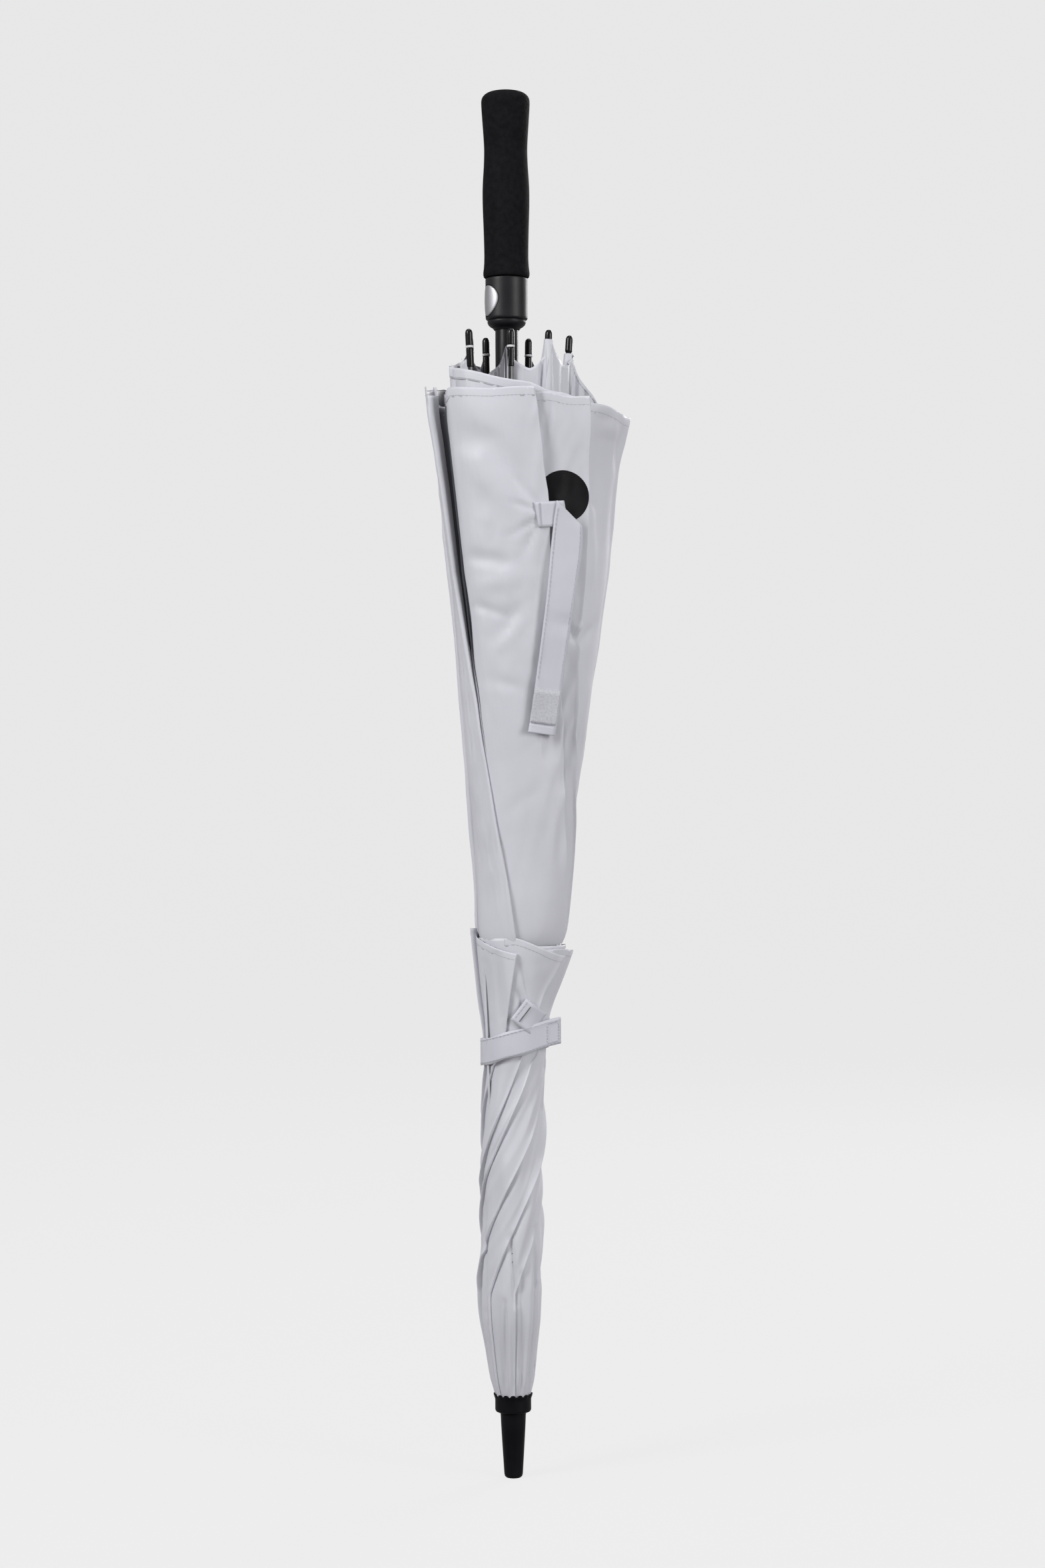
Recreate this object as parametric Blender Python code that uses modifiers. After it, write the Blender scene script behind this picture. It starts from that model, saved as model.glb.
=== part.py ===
"""A furled golf umbrella with eight ribs, a double canopy and an automatic opening button.

Metres, +Z up along the shaft. The origin is the flat end of the ferrule, and the grip is at the top.
The ribs are hinged on the crown near the ferrule and swing outwards when the runner slides down.
"""

import math

import bmesh
import bpy
from mathutils import Matrix, Vector

# ---- driving dimensions ----
RIBS = 8
FIRST_AZIMUTH = math.radians(-130.0)
STEP_AZIMUTH = 2.0 * math.pi / RIBS
TIP_RADII = (0.042, 0.034, 0.0394, 0.0456, 0.0246, 0.022, 0.020, 0.027)  # where each furled tip ends up
OPEN_ANGLE = math.radians(65.0)  # of an open rib's chord from the shaft
GAP = 0.0003

SHAFT_RADIUS = 0.0070
SHAFT_BORE = 0.0062
SHAFT_LOW = 0.0485
SHAFT_HIGH = 0.9850
BORE_ON_SHAFT = SHAFT_RADIUS + GAP

FERRULE_HEIGHT = 0.0472
FERRULE_LOW_RADIUS = 0.0066
FERRULE_HIGH_RADIUS = 0.0091
CAP_LOW = FERRULE_HEIGHT + GAP
CAP_TOP = 0.0566
CAP_RIM = 0.0595
CAP_RADIUS = 0.0130

PIVOT_Z = 0.0680
PIVOT_RADIUS = 0.0105
CROWN_LOW = 0.0600
CROWN_FLANGE = 0.0640
CROWN_TOP = 0.0720
CROWN_HUB = 0.0082
CROWN_RADIUS = 0.0119
CROWN_TOOTH = 0.0020
CROWN_TOOTH_TOP = 0.0700
CROWN_SINK = 0.0010  # how far a tooth reaches into the flange
WIRE_RADIUS = 0.0004
WIRE_HOLE = 0.00075

RIB_RADIUS = 0.00175
RIB_TOP = 0.8240
RIB_SPAN = RIB_TOP - PIVOT_Z
RIB_BOW = 1.5  # the furled rib leaves the shaft as this power of the way up
EYE_RADIUS = 0.0019
EYE_WIDTH = 0.0030
TIP_RADIUS = 0.00265
TIP_LENGTH = 0.0270
TIP_SOCKET = 0.0105  # how deep the tip is hollow
RIB_IN_TIP = 0.0100
RIB_POINTS = 9

BRACKET_DROP = 0.0033  # from the rib's centre line in to its stretcher's pin
BRACKET_HALF = 0.0026
BRACKET_LENGTH = 0.0060
STRETCHER_START = 0.0036  # from the pin, so that the end clears the bracket as it turns

STRETCHER_RADIUS = 0.0012
RUNNER_PIVOT_RADIUS = 0.0110
RUNNER_PIVOT_CLOSED = 0.7580
RUNNER_TRAVEL = 0.3700
RUNNER_RADIUS = 0.0083
RUNNER_NOTCH_RADIUS = 0.0095
RUNNER_BOTTOM = 0.7500
RUNNER_TOP = 0.8345
RUNNER_WIRE_RING = 0.0089
RUNNER_WIRE_RADIUS = 0.00035

OPENING_SPRING_LOW = 0.6400
OPENING_SPRING_LENGTH = 0.1500
OPENING_SPRING_RADIUS = 0.0050
OPENING_SPRING_WIRE = 0.0006

HOUSING_RADIUS = 0.0152
HOUSING_LOW = 0.8275
HOUSING_SHOULDER = 0.8325
HOUSING_TOP = 0.8645
HOUSING_NECK = 0.0134
HOUSING_RUNNER_BORE = 0.0087
POCKET_FLOOR = 0.0082

BUTTON_AZIMUTH = math.radians(-157.0)
BUTTON_TURN = BUTTON_AZIMUTH + math.pi  # from the -X side round to the button's own side
BUTTON_CENTRE = 0.8480
BUTTON_HALF_HEIGHT = 0.0113
BUTTON_HALF_WIDTH = 0.0104
BUTTON_CLEARANCE = 0.0004
BUTTON_PROUD = 0.0006
BUTTON_INNER = 0.0108
BUTTON_TRAVEL = 0.0012
BUTTON_REACH = 0.0200  # how far out the oval prisms run before they are cut to the housing's radius
BUTTON_SPRING_RADIUS = 0.0020
BUTTON_SPRING_WIRE = 0.00025
BUTTON_SPRING_END = 0.0007  # left free at each end of the spring
BUTTON_SPRING_RAISED = 0.0040  # above the button's middle, clear of the latch plate
LATCH_PLATE = (0.0007, 0.0050, 0.0080)
LATCH_DISTANCE = 0.0089
LATCH_Z = 0.8435

GRIP_BOTTOM = 0.8650
GRIP_TOP = 0.9997
GRIP_BORE_TOP = 0.9900
CORE_RADIUS = 0.0095

SLOT_HALF = 0.0031  # half the gap that a rib runs in, between two canopy folds
FOLD_INNER = 0.0125
STRAP_THICKNESS = 0.0018
STRAP_WIDTH = 0.0190
LOWER_STRAP_Z = 0.3140
LOWER_STRAP_RISE = 0.0065  # of its right side above its middle
LOWER_STRAP_OFF = 0.0006  # from the cloth
UPPER_STRAP_OFF = 0.0009
UPPER_STRAP_HEIGHTS = (0.5360, 0.5500, 0.6750, 0.6950)
UPPER_STRAP_FOLD = 1

# the furled canopy's half widths at a few heights: (height, to the left, to the right, front and back)
CANOPY_STATIONS = (
    (0.0745, 0.0162, 0.0156, 0.0160),
    (0.1120, 0.0228, 0.0202, 0.0215),
    (0.2100, 0.0226, 0.0226, 0.0230),
    (0.3000, 0.0203, 0.0245, 0.0245),
    (0.3700, 0.0255, 0.0400, 0.0300),
    (0.4500, 0.0275, 0.0475, 0.0320),
    (0.5500, 0.0340, 0.0604, 0.0370),
    (0.6750, 0.0435, 0.0746, 0.0430),
    (0.7720, 0.0565, 0.0905, 0.0500),
)

COLLECTION = "golf_umbrella"
ROUND = 32  # segments of the larger turned pieces

# looks: colour, roughness and metallic value
SPRING_STEEL = ((0.6, 0.6, 0.6), 0.3, 1.0)
WEBBING = ((0.55, 0.55, 0.60), 0.6)
RIB_FIBRE = ((0.05, 0.05, 0.055), 0.4)
BLACK_PLASTIC = ((0.02, 0.02, 0.022), 0.4)


# ---- scene, materials and objects ----
def clear_scene():
    for item in list(bpy.data.objects):
        bpy.data.objects.remove(item, do_unlink=True)


def collection(name):
    made = bpy.data.collections.get(name) or bpy.data.collections.new(name)
    if made.name not in bpy.context.scene.collection.children:
        bpy.context.scene.collection.children.link(made)
    return made


def material(name, colour, roughness, metallic=0.0):
    made = bpy.data.materials.get(name) or bpy.data.materials.new(name)
    made.use_nodes = True
    shader = made.node_tree.nodes["Principled BSDF"]
    shader.inputs["Base Color"].default_value = (*colour, 1.0)
    shader.inputs["Roughness"].default_value = roughness
    shader.inputs["Metallic"].default_value = metallic
    return made


def add_object(name, mesh, look):
    made = bpy.data.objects.new(name, mesh)
    collection(COLLECTION).objects.link(made)
    if look:
        mesh.materials.append(material(name, *look))
    return made


def mesh_from(bm, name):
    bmesh.ops.recalc_face_normals(bm, faces=bm.faces)
    mesh = bpy.data.meshes.new(name)
    bm.to_mesh(mesh)
    bm.free()
    mesh.shade_smooth()
    mesh.set_sharp_from_angle(angle=math.radians(35.0))
    return mesh


def empty_at(name, place, turn=0.0):
    made = bpy.data.objects.new(name, None)
    made.location = place
    made.rotation_euler.z = turn
    collection(COLLECTION).objects.link(made)
    return made


def keep_world(child, parent):
    """Parents a piece and leaves it where it is."""
    bpy.context.view_layer.update()
    child.parent = parent
    child.matrix_parent_inverse = parent.matrix_world.inverted()


# ---- shapes ----
def turned(name, profile, look, segments=ROUND):
    """A profile of (radius, height), from top to bottom outside and back up inside, turned round Z."""
    closed = min(radius for radius, _ in profile) > 1e-6
    bm = bmesh.new()
    points = [bm.verts.new((radius, 0.0, height)) for radius, height in profile]
    for a, b in zip(points, points[1:]):
        bm.edges.new((a, b))
    if closed:
        bm.edges.new((points[-1], points[0]))
    mesh = bpy.data.meshes.new(name)
    bm.to_mesh(mesh)
    bm.free()
    made = add_object(name, mesh, look)
    screw = made.modifiers.new("turn", "SCREW")
    screw.steps = segments
    screw.render_steps = segments
    screw.use_merge_vertices = True
    screw.merge_threshold = 0.00001
    screw.use_smooth_shade = True
    return made


def box(name, size, look):
    bm = bmesh.new()
    bmesh.ops.create_cube(bm, size=1.0)
    bmesh.ops.scale(bm, vec=size, verts=bm.verts)
    return add_object(name, mesh_from(bm, name), look)


def swept(name, points, radius, look, cyclic=False, resolution=2):
    """A round wire or rod along points, made a mesh so that it can be cut or joined."""
    curve = bpy.data.curves.new(name, "CURVE")
    curve.dimensions = "3D"
    curve.bevel_depth = radius
    curve.bevel_resolution = resolution
    curve.use_fill_caps = True
    spline = curve.splines.new("POLY")
    spline.points.add(len(points) - 1)
    for point, place in zip(spline.points, points):
        point.co = (*place, 1.0)
    spline.use_cyclic_u = cyclic
    guide = bpy.data.objects.new(name + "_guide", curve)
    collection(COLLECTION).objects.link(guide)
    bpy.context.view_layer.update()
    seen = guide.evaluated_get(bpy.context.evaluated_depsgraph_get())
    mesh = bpy.data.meshes.new_from_object(seen)
    bpy.data.objects.remove(guide, do_unlink=True)
    bm = bmesh.new()
    bm.from_mesh(mesh)
    bmesh.ops.remove_doubles(bm, verts=bm.verts, dist=0.00002)
    return add_object(name, mesh_from(bm, name), look)


def loft(name, rings, look):
    """A closed solid through rings of equally many points, with flat ends."""
    bm = bmesh.new()
    levels = [[bm.verts.new(point) for point in ring] for ring in rings]
    count = len(rings[0])
    for low, high in zip(levels, levels[1:]):
        for i in range(count):
            bm.faces.new((low[i], low[(i + 1) % count], high[(i + 1) % count], high[i]))
    bm.faces.new(levels[0])
    bm.faces.new(levels[-1])
    bmesh.ops.triangulate(bm, faces=bm.faces)
    return add_object(name, mesh_from(bm, name), look)


def cutter_only(tool):
    for used in list(tool.users_collection):
        used.objects.unlink(tool)
    collection("cutters").objects.link(tool)
    tool.hide_render = True
    tool.display_type = "WIRE"


def combine(target, tool, operation):
    cutter_only(tool)
    step = target.modifiers.new(operation.lower(), "BOOLEAN")
    step.operation = operation
    step.solver = "EXACT"
    step.object = tool


def helix(turns, per_turn, radius, length):
    count = turns * per_turn
    return [
        (
            radius * math.cos(2.0 * math.pi * i / per_turn),
            radius * math.sin(2.0 * math.pi * i / per_turn),
            length * i / count,
        )
        for i in range(count + 1)
    ]


def circle(radius, height, count):
    return [
        (radius * math.cos(2.0 * math.pi * i / count), radius * math.sin(2.0 * math.pi * i / count), height)
        for i in range(count)
    ]


# ---- the linkage, worked out in each rib's own plane of (radius, height) ----
def azimuth(k):
    return FIRST_AZIMUTH + STEP_AZIMUTH * k


def in_plane(k, radius, height, side=0.0):
    """The world point at a radius, a height and a distance to the side in rib k's plane."""
    a = azimuth(k)
    out = Vector((math.cos(a), math.sin(a), 0.0))
    along = Vector((-math.sin(a), math.cos(a), 0.0))
    return out * radius + along * side + Vector((0.0, 0.0, height))


def hinge_axis(k):
    """Turning by a positive angle about this axis swings rib k outwards."""
    a = azimuth(k)
    return Vector((-math.sin(a), math.cos(a), 0.0))


def rib_radius_at(k, height):
    share = max(height - PIVOT_Z, 0.0) / RIB_SPAN
    return PIVOT_RADIUS + (TIP_RADII[k % RIBS] - PIVOT_RADIUS) * share**RIB_BOW


def rib_lean(k):
    return math.atan2(TIP_RADII[k % RIBS] - PIVOT_RADIUS, RIB_SPAN)


def rib_turn(k):
    return OPEN_ANGLE - rib_lean(k)


def turned_out(radius, height, angle):
    """A point of a rib's plane after the rib has swung outwards by an angle."""
    x, z = radius - PIVOT_RADIUS, height - PIVOT_Z
    return (
        PIVOT_RADIUS + x * math.cos(angle) + z * math.sin(angle),
        PIVOT_Z - x * math.sin(angle) + z * math.cos(angle),
    )


def pin_at(k, height):
    return rib_radius_at(k, height) - BRACKET_DROP, height


def pin_height(k):
    """Where rib k's stretcher is pinned, so that one length fits both the closed and the open runner."""
    low, high = PIVOT_Z + 0.20, RUNNER_PIVOT_CLOSED - 0.20
    open_end = (RUNNER_PIVOT_RADIUS, RUNNER_PIVOT_CLOSED - RUNNER_TRAVEL)
    closed_end = (RUNNER_PIVOT_RADIUS, RUNNER_PIVOT_CLOSED)
    for _ in range(50):
        middle = (low + high) / 2.0
        pin = pin_at(k, middle)
        if math.dist(pin, closed_end) > math.dist(turned_out(*pin, rib_turn(k)), open_end):
            low = middle
        else:
            high = middle
    return (low + high) / 2.0


def stretcher_turn(k):
    """How far stretcher k turns on its rib, inwards, from closed to open."""
    pin = pin_at(k, pin_height(k))
    moved = turned_out(*pin, rib_turn(k))
    closed = math.atan2(RUNNER_PIVOT_RADIUS - pin[0], RUNNER_PIVOT_CLOSED - pin[1])
    opened = math.atan2(RUNNER_PIVOT_RADIUS - moved[0], RUNNER_PIVOT_CLOSED - RUNNER_TRAVEL - moved[1])
    return opened - closed - rib_turn(k)


def gore_hinge(k):
    """The point, axis and angle that carry rib k's line to the next rib's line once both are open."""
    def open_line(n):
        return in_plane(n, math.sin(OPEN_ANGLE), math.cos(OPEN_ANGLE))

    here, there = open_line(k), open_line(k + 1)
    axis = here.cross(there).normalized()
    angle = here.angle(there)
    apex = Vector((0.0, 0.0, PIVOT_Z - PIVOT_RADIUS / math.tan(OPEN_ANGLE)))
    pivot = in_plane(k, PIVOT_RADIUS, PIVOT_Z)
    back = Matrix.Rotation(-rib_turn(k), 3, hinge_axis(k))
    return pivot + back @ (apex - pivot), back @ axis, angle


# ---- the furled canopy's outline ----
def half_widths(height):
    stations = CANOPY_STATIONS
    height = min(max(height, stations[0][0]), stations[-1][0])
    for low, high in zip(stations, stations[1:]):
        if height <= high[0]:
            share = (height - low[0]) / (high[0] - low[0])
            return [a + (b - a) * share for a, b in zip(low[1:], high[1:])]


def canopy_radius(height, angle):
    left, right, deep = half_widths(height)
    c, s = math.cos(angle), math.sin(angle)
    across = right if c > 0.0 else left
    return 1.0 / math.hypot(c / across, s / deep)


# ---- pieces on the shaft ----
def make_shaft():
    profile = (
        (SHAFT_RADIUS, SHAFT_HIGH),
        (SHAFT_RADIUS, SHAFT_LOW),
        (SHAFT_BORE, SHAFT_LOW),
        (SHAFT_BORE, SHAFT_HIGH),
    )
    turned("shaft", profile, ((0.30, 0.30, 0.31), 0.35, 1.0), 24)


def make_ferrule():
    edge = 0.0018
    profile = (
        (0.0, FERRULE_HEIGHT),
        (FERRULE_HIGH_RADIUS, FERRULE_HEIGHT),
        (FERRULE_LOW_RADIUS + 0.0001, edge),
        (FERRULE_LOW_RADIUS - 0.3 * edge, 0.3 * edge),
        (FERRULE_LOW_RADIUS - edge, 0.0),
        (0.0, 0.0),
    )
    turned("ferrule", profile, BLACK_PLASTIC)


def make_cap():
    profile = (
        (CAP_RADIUS + 0.0007, CAP_RIM),
        (CAP_RADIUS, CAP_TOP),
        (CAP_RADIUS, CAP_LOW + 0.0018),
        (CAP_RADIUS - 0.0018, CAP_LOW),
        (BORE_ON_SHAFT, CAP_LOW),
        (BORE_ON_SHAFT, CAP_TOP),
        (CAP_RADIUS - 0.0015, CAP_TOP),
        (CAP_RADIUS - 0.0005, CAP_RIM),
    )
    turned("cap", profile, BLACK_PLASTIC)


def ring_of_teeth(name, count, inner, outer, low, high, width, first):
    """Separate tooth blocks round Z, each its own object, to be joined to a hub."""
    teeth = []
    for k in range(count):
        angle = first + 2.0 * math.pi * k / count
        tooth = box(f"{name}_{k + 1}", (outer - inner, width, high - low), None)
        middle = (inner + outer) / 2.0
        tooth.location = (middle * math.cos(angle), middle * math.sin(angle), (low + high) / 2.0)
        tooth.rotation_euler.z = angle
        teeth.append(tooth)
    return teeth


def make_crown():
    """The toothed hub: the ribs' eyes sit between its teeth, on one ring of wire."""
    profile = (
        (CROWN_HUB, CROWN_TOP),
        (CROWN_HUB, CROWN_FLANGE),
        (CROWN_RADIUS, CROWN_FLANGE),
        (CROWN_RADIUS, CROWN_LOW),
        (BORE_ON_SHAFT, CROWN_LOW),
        (BORE_ON_SHAFT, CROWN_TOP),
    )
    crown = turned("crown", profile, ((0.03, 0.03, 0.03), 0.5))
    first = FIRST_AZIMUTH + STEP_AZIMUTH / 2.0
    inner, outer = CROWN_HUB - CROWN_SINK / 2.0, CROWN_RADIUS - 0.0002
    low = CROWN_FLANGE - CROWN_SINK
    for tooth in ring_of_teeth("crown_tooth", RIBS, inner, outer, low, CROWN_TOOTH_TOP, CROWN_TOOTH, first):
        combine(crown, tooth, "UNION")
    ring = circle(PIVOT_RADIUS, PIVOT_Z, ROUND)
    groove = swept("crown_groove", ring, WIRE_HOLE, None, cyclic=True)
    combine(crown, groove, "DIFFERENCE")
    swept("crown_wire", ring, WIRE_RADIUS, SPRING_STEEL, True, 1)


def make_runner(parent):
    notch_low, notch_high = RUNNER_PIVOT_CLOSED - 0.0010, RUNNER_PIVOT_CLOSED + 0.0010
    profile = (
        (RUNNER_RADIUS, RUNNER_TOP),
        (RUNNER_RADIUS, notch_high + 0.0020),
        (RUNNER_NOTCH_RADIUS, notch_high + 0.0015),
        (RUNNER_NOTCH_RADIUS, notch_high),
        (RUNNER_RADIUS, notch_high),
        (RUNNER_RADIUS, notch_low),
        (RUNNER_NOTCH_RADIUS, notch_low),
        (RUNNER_NOTCH_RADIUS, RUNNER_BOTTOM + 0.0010),
        (RUNNER_NOTCH_RADIUS - 0.0010, RUNNER_BOTTOM),
        (BORE_ON_SHAFT, RUNNER_BOTTOM),
        (BORE_ON_SHAFT, RUNNER_TOP),
    )
    keep_world(turned("runner", profile, ((0.03, 0.03, 0.032), 0.35)), parent)
    ring = circle(RUNNER_WIRE_RING, RUNNER_PIVOT_CLOSED, 24)
    wire = swept("runner_wire", ring, RUNNER_WIRE_RADIUS, SPRING_STEEL, True, 1)
    keep_world(wire, parent)


# ---- housing, button and grip ----
def oval(name, half_width, half_height, inner, outer):
    """An egg-shaped prism that runs from one distance to another on the button's side of the shaft."""
    curve = bpy.data.curves.new(name, "CURVE")
    curve.dimensions = "2D"
    curve.fill_mode = "BOTH"
    curve.extrude = (outer - inner) / 2.0
    spline = curve.splines.new("POLY")
    count = 28
    spline.points.add(count - 1)
    for i, point in enumerate(spline.points):
        angle = 2.0 * math.pi * i / count
        up = math.sin(angle)
        narrowing = 1.0 + 0.10 * up
        point.co = (half_width * narrowing * math.cos(angle), half_height * up, 0.0, 1.0)
    spline.use_cyclic_u = True
    guide = bpy.data.objects.new(name + "_guide", curve)
    collection(COLLECTION).objects.link(guide)
    bpy.context.view_layer.update()
    seen = guide.evaluated_get(bpy.context.evaluated_depsgraph_get())
    mesh = bpy.data.meshes.new_from_object(seen)
    bpy.data.objects.remove(guide, do_unlink=True)
    stand = Matrix.Rotation(math.radians(90.0), 4, "Z") @ Matrix.Rotation(math.radians(90.0), 4, "X")
    place = Matrix.Translation((-(inner + outer) / 2.0, 0.0, BUTTON_CENTRE))
    mesh.transform(Matrix.Rotation(BUTTON_TURN, 4, "Z") @ place @ stand)
    bm = bmesh.new()
    bm.from_mesh(mesh)
    bmesh.ops.remove_doubles(bm, verts=bm.verts, dist=0.00002)
    return mesh_from(bm, name)


def make_housing():
    profile = (
        (HOUSING_RADIUS - 0.0006, HOUSING_TOP),
        (HOUSING_RADIUS, HOUSING_TOP - 0.0008),
        (HOUSING_RADIUS, HOUSING_SHOULDER + 0.0028),
        (HOUSING_RADIUS - 0.0003, HOUSING_SHOULDER + 0.0010),
        (HOUSING_NECK, HOUSING_SHOULDER),
        (0.0108, 0.8312),
        (0.0098, HOUSING_LOW),
        (HOUSING_RUNNER_BORE, HOUSING_LOW),
        (HOUSING_RUNNER_BORE, RUNNER_TOP + 0.0006),
        (BORE_ON_SHAFT, RUNNER_TOP + 0.0006),
        (BORE_ON_SHAFT, HOUSING_TOP),
    )
    housing = turned("button_housing", profile, ((0.02, 0.02, 0.022), 0.35), 48)
    half_width, half_height = BUTTON_HALF_WIDTH + BUTTON_CLEARANCE, BUTTON_HALF_HEIGHT + BUTTON_CLEARANCE
    mesh = oval("pocket", half_width, half_height, POCKET_FLOOR, BUTTON_REACH)
    combine(housing, add_object("pocket", mesh, None), "DIFFERENCE")


def on_button_side(piece, distance, height):
    """Puts a piece at a distance from the shaft's axis on the button's side, turned to face that way."""
    x, y = distance * math.cos(BUTTON_AZIMUTH), distance * math.sin(BUTTON_AZIMUTH)
    piece.location = (x, y, height)
    piece.rotation_euler.z = BUTTON_TURN


def make_button(parent):
    mesh = oval("button", BUTTON_HALF_WIDTH, BUTTON_HALF_HEIGHT, BUTTON_INNER, BUTTON_REACH)
    button = add_object("button", mesh, ((0.70, 0.70, 0.72), 0.25, 1.0))
    face, above = HOUSING_RADIUS + BUTTON_PROUD, BUTTON_HALF_HEIGHT + 0.004
    outline = (
        (0.0, BUTTON_CENTRE + above),
        (face, BUTTON_CENTRE + above),
        (face, BUTTON_CENTRE - above),
        (0.0, BUTTON_CENTRE - above),
    )
    combine(button, turned("button_face", outline, None, 64), "INTERSECT")
    keep_world(button, parent)
    spring_length = BUTTON_INNER - POCKET_FLOOR - 2.0 * BUTTON_SPRING_END
    coil = helix(2, 10, BUTTON_SPRING_RADIUS, spring_length)
    spring = swept("button_spring", coil, BUTTON_SPRING_WIRE, SPRING_STEEL, False, 1)
    spring.rotation_euler.y = math.radians(-90.0)
    on_button_side(spring, POCKET_FLOOR + BUTTON_SPRING_END, BUTTON_CENTRE + BUTTON_SPRING_RAISED)
    on_button_side(box("latch_plate", LATCH_PLATE, SPRING_STEEL), LATCH_DISTANCE, LATCH_Z)


def make_grip():
    outer = (
        (0.0, GRIP_TOP),
        (0.0085, GRIP_TOP - 0.0003),
        (0.0135, GRIP_TOP - 0.0013),
        (0.0163, GRIP_TOP - 0.0034),
        (0.0175, 0.9930),
        (0.0172, 0.9850),
        (0.0160, 0.9680),
        (0.0156, 0.9566),
        (0.0161, 0.9420),
        (0.0169, 0.9273),
        (0.0168, 0.9120),
        (0.0161, 0.8920),
        (0.01595, 0.8797),
        (0.0166, 0.8700),
        (0.0166, 0.8670),
        (0.0158, GRIP_BOTTOM),
    )
    bore = CORE_RADIUS + GAP
    inner = ((bore, GRIP_BOTTOM), (bore, GRIP_BORE_TOP), (0.0, GRIP_BORE_TOP))
    turned("grip", outer + inner, ((0.02, 0.02, 0.02), 0.85))
    core = (
        (CORE_RADIUS, GRIP_BORE_TOP - 0.0004),
        (CORE_RADIUS, GRIP_BOTTOM),
        (BORE_ON_SHAFT, GRIP_BOTTOM),
        (BORE_ON_SHAFT, GRIP_BORE_TOP - 0.0004),
    )
    turned("grip_core", core, ((0.05, 0.05, 0.05), 0.6), 24)


def make_opening_spring():
    coil = helix(9, 10, OPENING_SPRING_RADIUS, OPENING_SPRING_LENGTH)
    spring = swept("opening_spring", coil, OPENING_SPRING_WIRE, SPRING_STEEL, False, 1)
    spring.location.z = OPENING_SPRING_LOW


# ---- ribs, tips, brackets and stretchers ----
def rib_points(k):
    low, high = PIVOT_Z + 0.0002, RIB_TOP - TIP_LENGTH + RIB_IN_TIP
    heights = [low + (high - low) * i / (RIB_POINTS - 1) for i in range(RIB_POINTS)]
    return [in_plane(k, rib_radius_at(k, height), height) for height in heights]


def tangent_rod(name, k, radius, width, place):
    """A short round bar along rib k's hinge direction."""
    half = hinge_axis(k) * width / 2.0
    return swept(name, [place - half, place + half], radius, None)


def make_rib(k, parent):
    number = k + 1
    rib = swept(f"rib_{number}", rib_points(k), RIB_RADIUS, RIB_FIBRE)
    pivot = in_plane(k, PIVOT_RADIUS, PIVOT_Z)
    combine(rib, tangent_rod(f"rib_eye_{number}", k, EYE_RADIUS, EYE_WIDTH, pivot), "UNION")
    combine(rib, tangent_rod(f"rib_hole_{number}", k, WIRE_HOLE, 2.0 * EYE_WIDTH, pivot), "DIFFERENCE")
    keep_world(rib, parent)


def make_tip(k, parent):
    """A moulded end cap over the rib's end, narrow below the canopy's thread and round at the top."""
    base, wall = RIB_TOP - TIP_LENGTH, RIB_RADIUS + GAP
    socket_top = base + TIP_SOCKET
    profile = (
        (0.0, TIP_LENGTH),
        (0.0014, TIP_LENGTH - 0.0004),
        (0.0023, TIP_LENGTH - 0.0013),
        (TIP_RADIUS, TIP_LENGTH - 0.0028),
        (TIP_RADIUS, 0.0150),
        (0.0024, 0.0142),
        (0.0024, 0.0),
        (wall, 0.0),
        (wall, TIP_SOCKET),
        (0.0, TIP_SOCKET),
    )
    tip = turned(f"rib_tip_{k + 1}", profile, ((0.02, 0.02, 0.02), 0.2), 16)
    low = in_plane(k, rib_radius_at(k, base), base)
    high = in_plane(k, rib_radius_at(k, socket_top), socket_top)
    tip.rotation_mode = "QUATERNION"
    tip.rotation_quaternion = Vector((0.0, 0.0, 1.0)).rotation_difference(high - low)
    tip.location = low
    keep_world(tip, parent)


def make_bracket(k, parent):
    """A sleeve on the rib beside the stretcher's pin."""
    height = pin_height(k)
    half = BRACKET_LENGTH / 2.0
    lower = in_plane(k, rib_radius_at(k, height - half), height - half)
    upper = in_plane(k, rib_radius_at(k, height + half), height + half)
    direction = (upper - lower).normalized()
    profile = (
        (BRACKET_HALF, half),
        (BRACKET_HALF, -half),
        (RIB_RADIUS + GAP, -half),
        (RIB_RADIUS + GAP, half),
    )
    bracket = turned(f"rib_bracket_{k + 1}", profile, ((0.03, 0.03, 0.03), 0.5), 12)
    tilt = Vector((0.0, 0.0, 1.0)).rotation_difference(direction)
    bracket.rotation_mode = "QUATERNION"
    bracket.rotation_quaternion = tilt
    bracket.location = (lower + upper) / 2.0
    keep_world(bracket, parent)


def make_stretcher(k, parent):
    pin_radius, pin_z = pin_at(k, pin_height(k))
    low = in_plane(k, pin_radius, pin_z)
    high = in_plane(k, RUNNER_PIVOT_RADIUS, RUNNER_PIVOT_CLOSED)
    along = (high - low).normalized()
    ends = [low + along * STRETCHER_START, high]
    stretcher = swept(f"stretcher_{k + 1}", ends, STRETCHER_RADIUS, RIB_FIBRE)
    keep_world(stretcher, parent)


# ---- canopy folds and straps ----
def fold_ring(k, height):
    """One level of fold k: a sector between two rib slots, from a round core out to the outline."""
    middle = azimuth(k) + STEP_AZIMUTH / 2.0
    outward = Vector((math.cos(middle), math.sin(middle), 0.0))
    across = Vector((-math.sin(middle), math.cos(middle), 0.0))
    half_step = STEP_AZIMUTH / 2.0

    def corner(radius, side):
        reach = radius * math.cos(half_step)
        width = max(reach * math.tan(half_step) - SLOT_HALF / math.cos(half_step), 0.0004)
        point = outward * reach + across * width * side
        point.z = height
        return point

    outer = [
        corner(canopy_radius(height, azimuth(k)), -1.0),
        outward * canopy_radius(height, middle) + Vector((0.0, 0.0, height)),
        corner(canopy_radius(height, azimuth(k + 1)), 1.0),
    ]
    inner = [corner(FOLD_INNER, 1.0), corner(FOLD_INNER, -1.0)]
    return outer + inner


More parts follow.
